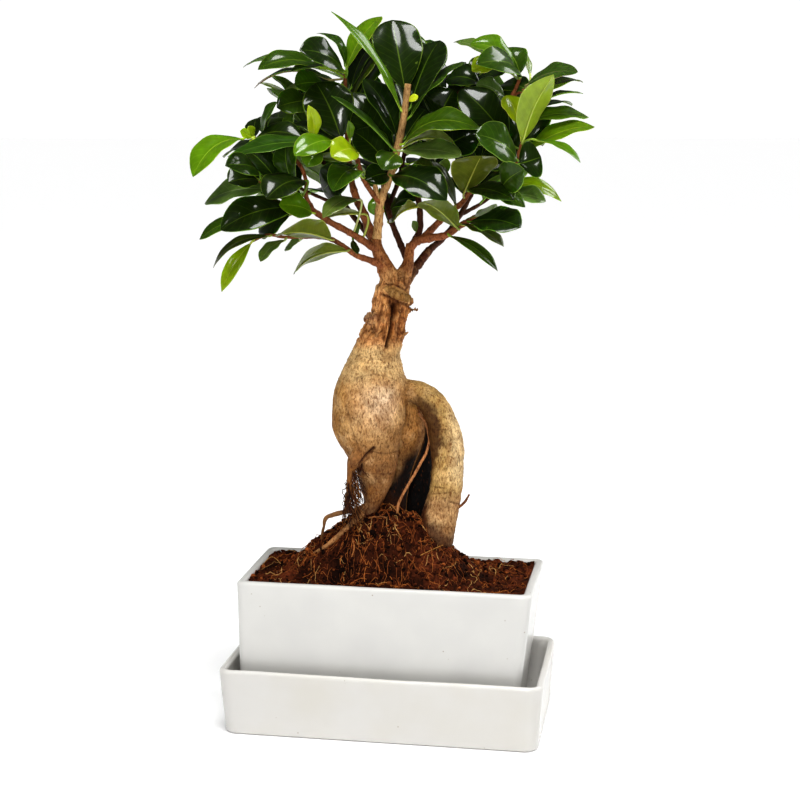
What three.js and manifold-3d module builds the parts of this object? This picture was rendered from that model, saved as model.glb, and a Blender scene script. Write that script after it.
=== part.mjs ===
// A ginseng ficus bonsai in a white glazed pot on its saucer. Millimetres, +Z up.
// The origin is the centre of the saucer's underside, +X runs along the pot's long side and -Y is the front.
import * as THREE from "three";
import { mergeVertices } from "three/addons/utils/BufferGeometryUtils.js";
import Module from "manifold-3d";

const wasm = await Module();
wasm.setup();

// ---------------------------------------------------------------- driving dimensions

const seat = 0.3; // clearance between two pieces that touch

const saucer = { width: 176, depth: 90, height: 36.1, wall: 4, floor: 4.5, inset: 2.6, corner: 7.5 };
const pot = { width: 160, depth: 75, rim: 83.9, wall: 4.8, floor: 5.5, slope: 3.3, corner: 4.5 };
// The pot is made by hand: its foot sits a little to the left of its rim.
const potMiddle = { atRim: 1.2, atFoot: -2.9 };
const drainRadius = 6;
const footStep = { height: 1.2, width: 7 }; // the pot stands on a plain raised foot ring
const softEdge = 1.2; // radius of the glazed rims and lower edges
const leastCorner = 1.6; // radius of the corners inside the pot and the saucer, where they aren't larger

const soilLevel = 82.5; // just under the pot's rim
const soilHeaps = [
  // centre x, y, height above the level, reach along x, reach along y
  [-8, -5, 32, 21, 20],
  [17, -3, 23, 18, 19],
  [-35, -4, 16.5, 20, 20],
  [35, 4, 6, 14, 24],
];
// How far inside the pot's walls the heaps are whole, and where they would end, past the walls' inner face.
const soilShoulder = { whole: 12, end: -4 };
const soilRoughness = 0.9;

const bladeThickness = 0.9;
const bladeFold = 0.16; // rise of a blade's edges above its midrib, as a share of the half width
const stalkRadius = 0.8; // half the stalk's width where the blade begins
const footLean = 0.2; // how far a blade's foot leans forward of its twig, as a share of the tip's lean
const clearance = 0.45; // kept on each side of a blade to the leaves and wood of other stems

// Half width of a blade along its length, and how many points lie across it: slender at the foot, widest
// past the middle, blunt at the tip. The leaves set by rule are mostly hidden and have a row less.
const bladeRows = {
  shown: [
    { along: 0.26, half: 0.66, across: 3 },
    { along: 0.58, half: 1, across: 3 },
    { along: 0.87, half: 0.62, across: 2 },
  ],
  hidden: [
    { along: 0.36, half: 0.84, across: 3 },
    { along: 0.76, half: 0.88, across: 3 },
  ],
};

// ---------------------------------------------------------------- the view that the tree is laid out in

// Wood and leaves are placed where they show in a picture of picturePixels square, taken by an eye that
// stands 0.9 m in front of the tree. A third number then gives how far each point lies in front of the
// tree's middle plane, in millimetres.
const picturePixels = 800;
const focalPixels = 1700;
const eye = new THREE.Vector3(158, -889.8, 343.5);
const eyeTurn = THREE.MathUtils.degToRad(-9.76);
const eyeTilt = THREE.MathUtils.degToRad(10.32);

const levelView = new THREE.Vector3(Math.sin(eyeTurn), Math.cos(eyeTurn), 0);
const viewAcross = new THREE.Vector3(Math.cos(eyeTurn), -Math.sin(eyeTurn), 0);
const viewAhead = levelView
  .clone()
  .multiplyScalar(Math.cos(eyeTilt))
  .setZ(-Math.sin(eyeTilt));
const viewUp = viewAcross.clone().cross(viewAhead);
const eyeDistance = -eye.dot(levelView);
const towardsEye = levelView.clone().negate();

// The point that shows at pixel x, y and lies depth mm in front of the middle plane.
function seen(x, y, depth) {
  const ray = viewAhead
    .clone()
    .multiplyScalar(focalPixels)
    .addScaledVector(viewAcross, x - picturePixels / 2)
    .addScaledVector(viewUp, picturePixels / 2 - y);
  return eye.clone().addScaledVector(ray, (eyeDistance - depth) / ray.dot(levelView));
}

// The pixel at which a point shows, and its depth in front of the middle plane.
function shownAt(point) {
  const fromEye = point.clone().sub(eye);
  const scale = focalPixels / fromEye.dot(viewAhead);
  return {
    x: picturePixels / 2 + scale * fromEye.dot(viewAcross),
    y: picturePixels / 2 - scale * fromEye.dot(viewUp),
    depth: point.dot(towardsEye),
  };
}

// ---------------------------------------------------------------- the tree's wood

// Each station is [pixel x, pixel y, depth, half width, half depth] in the picture, the halves in mm.
// A station with no half depth is round.
const trunkLimbs = {
  swollenRoot: {
    sides: 12,
    stations: [
      [394, 283, 0, 7.4, 7],
      [392, 293, 0, 9.2, 9],
      [391, 303, 0, 9.9, 9.5],
      [388, 320, 0, 10.0, 9.6],
      [382, 336, 0, 11.9, 11],
      [377.5, 350, 0, 12.8, 12.2],
      [375.5, 363, 0, 15.4, 14.4],
      [372.5, 384, 0, 18.6, 17.4],
      [369, 407, 0, 20.1, 18.8],
      [369, 427, 1, 19.6, 18.4],
      [372.5, 445, 2, 15.7, 15.4],
      [375.5, 461, 3, 12.3, 12.4],
      [376, 478, 4, 9.6, 9.8],
      [375, 487, 4.6, 8, 8.4],
      [373.8, 497, 5.4, 5.9, 6.2],
      [371.5, 505, 6, 4.3, 4.6],
      [366, 514, 5.5, 3.2, 3.4],
      [362, 523, 2, 2.6, 2.6],
    ],
  },
  rearLobe: {
    sides: 10,
    stations: [
      [390, 368, -5, 5, 6],
      [397, 388, -9, 7.6, 9.5],
      [403.5, 408, -11, 9.6, 11],
      [405.5, 430, -12, 10.2, 11],
      [404, 448, -12, 8.8, 10],
      [399, 468, -11, 7.4, 9],
      [394.5, 490, -9, 7.6, 7.6],
      [391, 512, -8, 8, 6.4],
      [389, 535, -8, 7, 5],
    ],
  },
  archRoot: {
    sides: 10,
    stations: [
      [397, 389, -3, 6, 7.5],
      [411, 390.5, -3, 6, 8],
      [424.5, 396, -2, 6.8, 8.6],
      [435.5, 408, -1, 7.8, 9],
      [442.5, 425, 0, 8.4, 9.4],
      [446.5, 444, 1, 9, 9.6],
      [447.5, 466, 2, 9, 9.6],
      [446.5, 487, 3, 9, 9.4],
      [441.5, 507, 3, 9.5, 9.4],
      [437.5, 528, 4, 10.1, 9.8],
      [435.8, 547, 4, 8.8, 9],
      [435.5, 566, 4, 8.2, 8.4],
      [436, 590, 4, 6, 6],
    ],
  },
  shadedRoot: {
    sides: 7,
    stations: [
      [411, 398, -14, 5.5],
      [419, 420, -19, 7.6],
      [421, 450, -21, 9.2],
      [420, 480, -21, 9.8],
      [417, 510, -20, 9.6],
      [414, 545, -17, 8.4],
      [413, 574, -15, 7],
    ],
  },
  sideRoot: {
    sides: 6,
    stations: [
      [371, 447, 11, 4.6],
      [362, 453, 13, 4.5],
      [354.5, 459.5, 14, 3.4],
      [351.3, 467, 14, 2.5],
      [349.8, 475, 14, 1.6],
      [348.5, 485, 13.5, 1.35],
      [348, 493, 13, 1.2],
      [347, 501, 12, 1.5],
      [348, 510, 11, 1.6],
    ],
  },
  leaningRoot: {
    sides: 5,
    stations: [
      [370, 503, 8, 2.3],
      [360, 508.5, 10, 1.9],
      [350, 511, 10.5, 1.7],
      [337, 514, 9.5, 1.5],
      [326.5, 517.5, 8, 1.4],
      [324, 527, 6, 0.9],
      [322, 538, 3, 0.9],
      [321, 553, 0, 0.9],
    ],
  },
  crawlingRoot: {
    sides: 5,
    stations: [
      [371, 505, 7, 3],
      [363, 513, 7.3, 2.3],
      [354, 522, 8.8, 2],
      [345, 530, 9.6, 1.8],
      [335, 539, 10.2, 1.6],
      [326, 546, 10.2, 1.4],
      [314, 554, 8.5, 1.2],
    ],
  },
  airRoot: {
    sides: 5,
    stations: [
      [418, 412, -3, 0.9],
      [425.5, 423, -1, 0.9],
      [429, 439, 1, 0.9],
      [426.5, 452, 3, 0.9],
      [418, 468, 5, 0.9],
      [408, 485, 7, 0.9],
      [399.5, 501, 8.5, 0.9],
      [397.5, 512, 8.5, 0.9],
      [397, 535, 5, 0.9],
    ],
  },
  cutCollar: {
    sides: 8,
    stations: [
      [380, 288.5, 3, 2.2],
      [387, 291, 7, 2.1],
      [396, 295.5, 8, 1.9],
      [405, 299.5, 6, 1.8],
      [413, 302, 2, 1.4],
    ],
  },
  leftLimb: {
    sides: 8,
    stations: [
      [394, 293, 0, 6.8],
      [390, 278, 0, 5.4],
      [383.5, 264, 0, 4.3],
      [377.5, 249, 0, 3.2],
      [375.5, 238, 0, 3],
    ],
  },
  rightLimb: {
    sides: 8,
    stations: [
      [398, 293, -1, 6],
      [403, 277, -2, 4.6],
      [408, 263, -3, 3.1],
      [409.5, 251, -4, 2.8],
      [411, 243, -5, 2.8],
    ],
  },
  rearLimb: {
    sides: 7,
    stations: [
      [403, 284, -4, 3.6],
      [413, 271, -8, 2.8],
      [421, 261, -13, 2.4],
      [430, 249, -19, 2.3],
    ],
  },
  rootShoot: {
    sides: 5,
    stations: [
      [452, 512, 3, 1.1],
      [459, 507, 4, 0.9],
      [465, 501, 4, 0.8],
      [469.5, 494.5, 4, 0.7],
    ],
  },
};

// ---------------------------------------------------------------- the leafy stems

// wood: the stem's branches, each a list of [pixel x, pixel y, depth, radius]; the first grows from the
// trunk or from a stem that stands earlier in the list.
// leaves: those that show from the front, each
// [foot x, foot y, tip x, tip y, lean, width, roll, arch]: the pixels of the foot and the tip, how many mm
// further forward the tip lies than the twig, the blade's width in mm, how many degrees its upper side is
// rolled upwards from facing the eye, and its arch as a share of its length.
// rosettes: runs of leaves set spirally round a branch by rule:
// [branch, from, to, count], from and to as shares of the branch, and depthLimit: how far forward they reach.
const stems = {
  leader: {
    wood: [
      [
        [376, 243, 0, 2.6],
        [378, 226, 1, 2.5],
        [380, 206, 3, 2.3],
        [383, 194, 4, 2.2],
        [391, 174, 6, 2],
        [397, 150, 8, 2.1],
        [403.5, 119, 10, 1.9],
        [408, 84, 12, 1.75],
      ],
      [
        [379.5, 206, 3, 1.5],
        [376, 192, 6, 1.4],
        [375, 182, 7, 1.1],
      ],
    ],
    leaves: [
      [405, 90, 392, 20, -24, 27, 12, 0.05],
      [411, 106, 438, 38, -20, 25, 38, 0.06],
      [401, 110, 335, 9, 6, 13, 70, 0.04],
      [397, 137, 365, 78, -12, 22, 48, 0.08],
      [394, 150, 330, 97, 12, 18, 83, 0.05],
      [391, 160, 348, 92, -16, 24, 25, 0.08],
      [388, 166, 354, 131, 6, 20, 32, 0.1],
      [404, 144, 480, 129, 14, 22, 62, 0.24],
      [402, 151, 462, 156, 20, 17, 56, 0.06],
      [402, 148, 457, 149, 4, 19, 112, 0.2],
      [405, 138, 426, 108, -6, 21, 12, 0.08],
      [392, 176, 446, 198, 30, 22, 42, 0.12],
      [390, 174, 365, 180, 12, 13, 28, 0.12],
      [376, 195, 376, 216, 6, 9, 12, 0.1],
      [376, 189, 363, 181, 3, 7, 55, 0.1],
      [396, 154, 383, 170, 14, 15, 22, 0.12],
      [408, 101, 418, 96, 2, 4, 20, 0],
    ],
    rosettes: [[0, 0.55, 0.97, 9]],
    depthLimit: 2,
  },
  upperLeft: {
    wood: [
      [
        [374, 242, -1, 2.4],
        [368, 226, -1, 2.5],
        [363, 212, -1, 2.4],
        [356, 197, -2, 2],
        [351, 178, -5, 1.7],
        [348, 150, -9, 1.4],
        [346, 112, -11, 1.2],
        [345, 72, -12, 1],
      ],
      [
        [346.5, 104, -11, 1],
        [332, 94, -9, 0.9],
        [318, 92, -7, 0.8],
      ],
    ],
    leaves: [
      [347, 68, 380, 15, -10, 20, 58, 0.06],
      [345, 66, 318, 32, -6, 13, 70, 0.22],
      [343, 70, 301, 49, 22, 20, 52, 0.1],
      [337, 71, 300, 53, -12, 14, 96, 0.06],
      [320, 68, 258, 69, 18, 17, 58, 0.16],
      [305, 66, 243, 66, -22, 13, 72, 0.12],
      [344, 73, 291, 70, 20, 16, 80, 0.1],
      [330, 80, 254, 84, -14, 16, 80, 0.14],
      [318, 92, 279, 95, -18, 11, 66, 0.14],
      [324, 84, 295, 85, 12, 16, 36, 0.08],
      [312, 101, 277, 107, 10, 18, 40, 0.1],
    ],
    rosettes: [[0, 0.45, 1, 10]],
    depthLimit: 4,
  },
  leftShoulder: {
    wood: [
      [
        [380, 203, 4, 1.4],
        [370, 190, 8, 1.4],
        [362, 176, 11, 1.3],
        [356, 157, 15, 1.2],
        [345, 149, 17, 1],
        [328, 147, 18, 0.9],
        [313, 143, 18, 0.8],
      ],
    ],
    leaves: [
      [341, 139, 316, 82, -20, 27, 14, 0.08],
      [357, 153, 331, 157, 18, 16, 38, 0.2],
      [350, 139, 349, 121, 8, 5, 38, 0.1],
      [312, 141, 308, 105, 10, 9, 40, 0.1],
      [318, 144, 228, 158, 4, 15, 60, 0.08],
      [332, 141, 294, 156, 22, 15, 40, 0.14],
      [320, 150, 307, 166, 10, 12, 24, 0.1],
      [363, 178, 333, 189, 22, 19, 62, 0.3],
      [356, 166, 322, 191, 4, 20, 26, 0.12],
    ],
    rosettes: [[0, 0.3, 0.8, 6]],
    depthLimit: -3,
  },
  leftMiddle: {
    wood: [
      [
        [377, 250, 1, 2.2],
        [365, 242, 3, 2],
        [347, 231, 7, 1.8],
        [330, 222, 11, 1.7],
        [314, 211, 15, 1.5],
        [300, 201, 18, 1.2],
        [284, 192, 20, 1.1],
        [268, 186, 22, 1],
        [259, 180, 23, 0.9],
      ],
      [
        [314, 211, 15, 1.2],
        [301, 212, 18, 1],
        [290, 214, 19, 0.8],
      ],
    ],
    leaves: [
      [268, 190, 205, 204, -14, 21, 60, 0.1],
      [305, 181, 267, 198, 24, 22, 52, 0.12],
      [294, 208, 221, 227, 16, 24, 48, 0.1],
      [244, 219, 200, 240, -4, 12, 58, 0.1],
      [312, 213, 279, 205, 14, 15, 40, 0.14],
      [290, 215, 259, 232, -10, 17, 40, 0.08],
      [362, 214, 324, 218, -22, 20, 108, 0.06],
      [359, 200, 323, 217, -8, 13, 60, 0.12],
      [258, 180, 228, 183, 14, 17, 52, 0.1],
      [258, 172, 225, 166, 10, 15, 52, 0.1],
      [257, 179, 237, 172, 8, 8, 56, 0.1],
      [356, 238, 359, 223, -2, 4, 40, 0],
      [353, 240, 357, 254, 4, 5, 40, 0],
    ],
    rosettes: [[0, 0.55, 1, 7]],
    depthLimit: 12,
  },
  farLeft: {
    wood: [
      [
        [312, 208, 15, 1.3],
        [306, 196, 9, 1.2],
        [306, 181, 5, 1.1],
        [299, 164, 2, 1.1],
        [282, 150, 1, 1],
        [264, 142, 3, 0.9],
        [254, 138, 5, 0.8],
      ],
    ],
    leaves: [
      [243, 139, 193, 177, 20, 20, 52, 0.2],
      [252, 138, 240, 131, 4, 6, 40, 0],
      [253, 137, 249, 126, 3, 6, 40, 0],
      [253, 139, 252, 147, 5, 5, 40, 0],
      [255, 137, 256, 118, -8, 11, 24, 0.1],
      [262, 136, 277, 102, -6, 13, 68, 0.1],
      [266, 137, 274, 117, -10, 15, 14, 0.1],
      [255, 139, 302, 137, 12, 16, 52, 0.12],
      [262, 148, 224, 157, -6, 14, 70, 0.1],
    ],
    rosettes: [[0, 0.45, 1, 7]],
    depthLimit: 0,
  },
  lowerLeft: {
    wood: [
      [
        [386, 268, 2, 2],
        [372, 261, 4, 1.8],
        [358, 256, 7, 1.6],
        [347, 249, 10, 1.5],
        [333, 240, 14, 1.3],
        [318, 237, 16, 1.1],
        [300, 237, 17, 1],
        [284, 237, 18, 0.9],
        [268, 235, 19, 0.8],
        [252, 241, 20, 0.8],
      ],
    ],
    leaves: [
      [331, 240, 280, 235, 30, 25, 122, 0.08],
      [347, 251, 293, 273, 22, 21, 116, 0.14],
      [285, 240, 260, 261, 8, 11, 60, 0.1],
      [270, 236, 212, 266, -8, 9, 62, 0.16],
      [251, 243, 221, 291, 12, 9, 30, 0.08],
      [300, 240, 284, 250, -10, 7, 60, 0],
    ],
    rosettes: [],
  },
  lowerRight: {
    wood: [
      [
        [411, 247, -4, 2.4],
        [417, 241, -3, 2.3],
        [430, 238, 0, 2.2],
        [446, 235, 3, 1.9],
        [460, 226, 6, 1.6],
        [470, 220, 8, 1.4],
        [480, 214, 9, 1.1],
      ],
    ],
    leaves: [
      [470, 222, 521, 228, 26, 22, 56, 0.06],
      [460, 224, 504, 245, 18, 14, 72, 0.08],
      [450, 236, 498, 270, 22, 10, 58, 0.08],
      [464, 221, 496, 203, 14, 17, 112, -0.14],
      [458, 229, 422, 199, 24, 18, 136, 0.06],
    ],
    rosettes: [],
  },
  middleRight: {
    wood: [
      [
        [417, 243, -6, 1.9],
        [429, 232, -6, 1.9],
        [441, 220, -4, 1.7],
        [452, 210, -1, 1.6],
        [462, 203, 2, 1.5],
        [472, 190, 5, 1.3],
        [488, 187, 7, 1.2],
        [503, 187, 9, 1.1],
      ],
    ],
    leaves: [
      [464, 193, 481, 155, 30, 25, 154, 0.06],
      [503, 186, 524, 169, 20, 17, 22, 0.1],
      [501, 186, 561, 202, 14, 11, 50, 0.18],
      [508, 196, 546, 200, 4, 14, 54, 0.08],
      [484, 194, 525, 207, 16, 13, 58, 0.1],
      [468, 190, 514, 200, 24, 19, 62, 0.1],
      [456, 206, 431, 160, 6, 13, 64, 0.06],
    ],
    rosettes: [[0, 0.6, 1, 6]],
    depthLimit: 0,
  },
  farRight: {
    wood: [
      [
        [500, 188, 9, 1.1],
        [507, 178, 8, 1.1],
        [514, 166, 9, 1.1],
        [519, 153, 9, 1],
        [522, 142, 9, 0.9],
      ],
    ],
    leaves: [
      [523, 141, 554, 75, 10, 22, 136, 0.06],
      [518, 124, 507, 95, -6, 17, 40, 0.1],
      [528, 150, 594, 124, -10, 17, 62, 0.08],
      [536, 140, 581, 160, -16, 10, 70, 0.08],
      [530, 120, 589, 117, -18, 15, 62, 0.08],
      [534, 112, 572, 104, -24, 10, 76, 0.08],
      [535, 106, 583, 93, -16, 9, 80, 0.1],
      [536, 98, 583, 80, -14, 13, 66, 0.1],
      [517, 160, 476, 134, 28, 23, 46, 0.12],
      [519, 164, 541, 157, 24, 21, 18, 0.08],
      [508, 141, 461, 88, -4, 25, 36, 0.08],
      [514, 166, 484, 152, 10, 22, 22, 0.06],
    ],
    rosettes: [[0, 0.3, 1, 5]],
    depthLimit: -2,
  },
  upperRight: {
    wood: [
      [
        [470, 193, 4, 1.3],
        [478, 178, -4, 1.3],
        [486, 155, -10, 1.2],
        [497, 130, -13, 1.2],
        [507, 105, -13, 1.1],
        [515, 90, -12, 1],
        [520, 78, -11, 0.9],
      ],
      [
        [511, 97, -13, 0.9],
        [520, 92, -13, 0.8],
        [529, 88, -12, 0.8],
      ],
    ],
    leaves: [
      [484, 54, 454, 41, -14, 12, 60, 0.08],
      [515, 70, 472, 42, 8, 19, 58, 0.16],
      [520, 74, 504, 48, -10, 19, 34, 0.14],
      [503, 61, 472, 71, -10, 13, 42, 0.12],
      [518, 77, 476, 64, 16, 19, 52, 0.14],
      [530, 74, 523, 50, -18, 8, 50, 0],
      [527, 85, 578, 72, 12, 17, 64, 0.12],
      [530, 92, 497, 86, 8, 17, 54, 0.08],
      [505, 98, 476, 84, 12, 13, 46, 0.1],
      [504, 105, 491, 101, 4, 7, 40, 0],
    ],
    rosettes: [[0, 0.35, 1, 9]],
    depthLimit: -4,
  },
  centre: {
    wood: [
      [
        [413, 244, -7, 2],
        [419, 232, -9, 1.9],
        [420, 212, -11, 1.7],
        [418, 190, -13, 1.5],
        [424, 165, -14, 1.4],
        [432, 140, -13, 1.3],
        [440, 120, -13, 1.2],
        [452, 100, -13, 1],
        [464, 88, -14, 0.9],
      ],
    ],
    leaves: [
      [438, 120, 453, 90, 6, 26, 18, 0.06],
      [480, 84, 446, 80, 20, 22, 56, 0.16],
      [474, 76, 446, 68, -14, 15, 66, 0.1],
      [417, 207, 393, 221, 14, 19, 106, 0.1],
      [418, 200, 394, 206, -10, 17, 62, 0.16],
      [417, 232, 413, 221, 3, 5, 40, 0],
      [436, 180, 417, 161, 6, 14, 32, 0.08],
      [434, 156, 479, 130, -2, 24, 30, 0.08],
    ],
    rosettes: [[0, 0.42, 1, 11]],
    depthLimit: -2,
  },
  rearUp: {
    wood: [
      [
        [407, 259, -5, 1.9],
        [400, 243, -9, 1.8],
        [391, 220, -14, 1.6],
        [386, 198, -21, 1.5],
        [380, 170, -28, 1.3],
        [372, 140, -33, 1.2],
        [366, 105, -36, 1],
      ],
    ],
    leaves: [[388, 222, 384, 190, -6, 15, 42, 0.1]],
    rosettes: [[0, 0.42, 1, 14]],
    depthLimit: -14,
  },
  rearTop: {
    wood: [
      [
        [388, 207, -18, 1.4],
        [398, 182, -36, 1.3],
        [405, 150, -46, 1.2],
        [410, 115, -50, 1.1],
        [412, 80, -50, 0.9],
      ],
    ],
    leaves: [],
    rosettes: [[0, 0.3, 1, 14]],
    depthLimit: -20,
  },
  rearRight: {
    wood: [
      [
        [428, 251, -18, 1.9],
        [445, 236, -28, 1.7],
        [460, 215, -38, 1.5],
        [474, 188, -45, 1.3],
        [486, 155, -49, 1.2],
        [492, 118, -50, 1],
      ],
      [
        [460, 215, -38, 1.2],
        [482, 203, -48, 1],
        [502, 188, -52, 0.9],
      ],
    ],
    leaves: [],
    rosettes: [
      [0, 0.4, 1, 12],
      [1, 0.3, 1, 6],
    ],
    depthLimit: -20,
  },
  rearLeft: {
    wood: [
      [
        [379, 248, -3, 1.8],
        [366, 232, -14, 1.7],
        [350, 212, -27, 1.5],
        [335, 188, -38, 1.3],
        [322, 158, -44, 1.2],
        [315, 122, -46, 1],
      ],
      [
        [350, 212, -27, 1.2],
        [326, 200, -36, 1],
        [300, 188, -40, 0.8],
        [278, 172, -42, 0.8],
      ],
    ],
    leaves: [],
    rosettes: [
      [0, 0.4, 1, 12],
      [1, 0.3, 1, 7],
    ],
    depthLimit: -20,
  },
};

// The rosettes' leaves stay inside this outline of the crown, in pixels.
const crownOutline = [
  [250, 78], [300, 56], [345, 42], [400, 24], [446, 46], [476, 52], [522, 52], [552, 84],
  [558, 122], [546, 158], [536, 182], [512, 196], [470, 200], [430, 190], [385, 186], [345, 192],
  [322, 214], [270, 220], [240, 200], [230, 168], [252, 132], [268, 104],
].map(([x, y]) => new THREE.Vector2(x, y));

// A rosette's leaf: its length and stalk in mm, its width and arch as shares of its length, how wide it
// stands off its branch low down, how much steeper at the branch's end, and how much that varies (degrees).
const rosetteLeaf = {
  longest: 46,
  shortest: 36,
  stalk: 6,
  widthShare: 0.54,
  arch: 0.1,
  open: 78,
  closing: 42,
  openSpread: 24,
};
const goldenTurn = THREE.MathUtils.degToRad(137.5);
const rosetteSeed = 20;

// When a leaf would cross another one, it is tried again with its tip and foot moved by these depths (mm),
// which leaves it where it shows from the front. A rosette's leaf is tried with these further turns
// (degrees), and then again at a smaller size.
const tipShifts = [0, 5, -5, 10, -10, 15, -15, 20, -20, 26, -26, 32, -32];
const footShifts = [0, 5, -5, 10, -10];
const turnSteps = [0, 18, -18, 36, -36, 54, -54, 75, -75, 100, -100, 130, -130, 165];
const sizeSteps = [1, 0.78];

// ---------------------------------------------------------------- solids

// A closed body from a list of triangles, each three Vector3.
function bodyOf(triangles) {
  const places = new Float32Array(triangles.flat().flatMap((point) => point.toArray()));
  const geometry = new THREE.BufferGeometry();
  geometry.setAttribute("position", new THREE.BufferAttribute(places, 3));
  return solidOf(geometry);
}

function solidOf(geometry) {
  const bare = geometry.clone();
  bare.deleteAttribute("normal");
  bare.deleteAttribute("uv");
  const merged = mergeVertices(bare, 1e-4);
  const mesh = new wasm.Mesh({
    numProp: 3,
    vertProperties: merged.getAttribute("position").array,
    triVerts: new Uint32Array(merged.getIndex().array),
  });
  return new wasm.Manifold(mesh);
}

function meshOf(name, solid, material) {
  const made = solid.getMesh();
  const geometry = new THREE.BufferGeometry();
  geometry.setAttribute("position", new THREE.BufferAttribute(made.vertProperties, 3));
  geometry.setIndex(new THREE.BufferAttribute(made.triVerts, 1));
  geometry.computeVertexNormals();
  const mesh = new THREE.Mesh(geometry, material);
  mesh.name = name;
  return mesh;
}

const joined = (solids) => solids.reduce((whole, solid) => whole.add(solid));

// The largest closed surface of a solid: hollows sealed inside it are filled and loose scraps are dropped.
const wholeOf = (solid) => solid.decompose().reduce((a, b) => (a.volume() > b.volume() ? a : b));

// A closed body through rings of equally many points, which turn right-handed about their own direction.
function loft(rings) {
  const triangles = [];
  const count = rings[0].length;
  rings.slice(1).forEach((upper, index) => {
    const lower = rings[index];
    for (let i = 0; i < count; i++) {
      const next = (i + 1) % count;
      triangles.push([lower[i], lower[next], upper[next]], [lower[i], upper[next], upper[i]]);
    }
  });
  const first = rings[0];
  const last = rings[rings.length - 1];
  for (let i = 1; i < count - 1; i++) {
    triangles.push([first[0], first[i + 1], first[i]], [last[0], last[i], last[i + 1]]);
  }
  return bodyOf(triangles);
}

// A limb of wood: rings of the stations' half widths square to the line through them.
function limb(stations, sides, grow = 0) {
  const centres = stations.map(([x, y, depth]) => seen(x, y, depth));
  let aside = null;
  const rings = stations.map(([, , , halfWidth, halfDepth = halfWidth], index) => {
    const before = centres[Math.max(index - 1, 0)];
    const after = centres[Math.min(index + 1, centres.length - 1)];
    const along = after.clone().sub(before).normalize();
    aside = (aside ?? towardsEye.clone().cross(along)).clone();
    aside.addScaledVector(along, -aside.dot(along)).normalize();
    const front = along.clone().cross(aside);
    return Array.from({ length: sides }, (_, side) => {
      const angle = (2 * Math.PI * side) / sides;
      return centres[index]
        .clone()
        .addScaledVector(aside, (halfWidth + grow) * Math.cos(angle))
        .addScaledVector(front, (halfDepth + grow) * Math.sin(angle));
    });
  });
  return loft(rings);
}

// ---------------------------------------------------------------- pot and saucer

// A level rounded rectangle at height z, centred on middle.
function roundedRing(width, depth, corner, z, middle = 0) {
  const arcPoints = 3;
  const shape = new THREE.Shape();
  const halfX = width / 2 - corner;
  const halfY = depth / 2 - corner;
  const corners = [
    [halfX, halfY, 0],
    [-halfX, halfY, 1],
    [-halfX, -halfY, 2],
    [halfX, -halfY, 3],
  ];
  for (const [x, y, quarter] of corners) {
    const start = (quarter * Math.PI) / 2;
    shape.absarc(x, y, corner, start, start + Math.PI / 2, false);
  }
  const outline = [];
  shape.curves
    .filter((curve) => curve.isEllipseCurve)
    .forEach((curve) => outline.push(...curve.getPoints(arcPoints)));
  return outline.map((point) => new THREE.Vector3(point.x + middle, point.y, z));
}

// Outside and hollow of a tray with sloping walls, whose rim and lower edge are softened. middle gives the
// x of its middle at each height.
function trayBody({ width, depth, corner, low, rim, slopeRise, wall, floor, middle }) {
  const drop = (z) => 2 * slopeRise * (rim - z);
  const outer = (z, inset) =>
    roundedRing(width - drop(z) - 2 * inset, depth - drop(z) - 2 * inset, corner - inset, z, middle(z));
  const inner = (z, inset) =>
    roundedRing(
      width - drop(z) - 2 * wall - 2 * inset,
      depth - drop(z) - 2 * wall - 2 * inset,
      Math.max(corner - wall / 2, leastCorner) - inset,
      z,
      middle(z),
    );
  const outside = loft([
    outer(low, softEdge),
    outer(low + softEdge, 0),
    outer(rim - softEdge, 0),
    outer(rim, softEdge / 2),
  ]);
  const hollow = loft([
    inner(low + floor, softEdge),
    inner(low + floor + softEdge, 0),
    inner(rim - softEdge, 0),
    inner(rim, -softEdge / 2),
    inner(rim + softEdge, -softEdge / 2),
  ]);
  return outside.subtract(hollow);
}

const potLow = saucer.floor + seat;
const potSlopeRise = Math.tan(THREE.MathUtils.degToRad(pot.slope));
const potBaseDrop = 2 * potSlopeRise * (pot.rim - potLow);

// The x of the pot's middle at height z.
function potMiddleAt(z) {
  const share = (pot.rim - z) / (pot.rim - potLow);
  return potMiddle.atRim + share * (potMiddle.atFoot - potMiddle.atRim);
}

function makePot() {
  const body = trayBody({ ...pot, low: potLow, slopeRise: potSlopeRise, middle: potMiddleAt });
  const recessWidth = pot.width - potBaseDrop - 2 * footStep.width;
  const recessDepth = pot.depth - potBaseDrop - 2 * footStep.width;
  const recess = loft([
    roundedRing(recessWidth, recessDepth, pot.corner, potLow - 1, potMiddle.atFoot),
    roundedRing(recessWidth, recessDepth, pot.corner, potLow + footStep.height, potMiddle.atFoot),
  ]);
  const drain = new THREE.CylinderGeometry(drainRadius, drainRadius, 3 * pot.floor, 20);
  drain.rotateX(Math.PI / 2);
  drain.translate(potMiddle.atFoot, 0, potLow);
  return body.subtract(recess).subtract(solidOf(drain));
}

function makeSaucer() {
  const slopeRise = saucer.inset / saucer.height;
  return trayBody({ ...saucer, low: 0, rim: saucer.height, slopeRise, middle: () => 0 });
}

// ---------------------------------------------------------------- soil

function soilHeight(x, y) {
  let heaped = 0;
  for (const [centreX, centreY, rise, reachX, reachY] of soilHeaps) {
    heaped += rise * Math.exp(-(((x - centreX) / reachX) ** 2) - ((y - centreY) / reachY) ** 2);
  }
  const toSide = pot.width / 2 - pot.wall - Math.abs(x - potMiddle.atRim);
  const toFront = pot.depth / 2 - pot.wall - Math.abs(y);
  const shoulder = THREE.MathUtils.smoothstep(Math.min(toSide, toFront), soilShoulder.end, soilShoulder.whole);
  const clods = Math.sin(x / 3.1 + 2 * Math.sin(y / 5.3)) + Math.sin(y / 2.7 - 1.4 * Math.sin(x / 6.1));
  return soilLevel + heaped * shoulder + (soilRoughness * clods) / 2;
}

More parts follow.
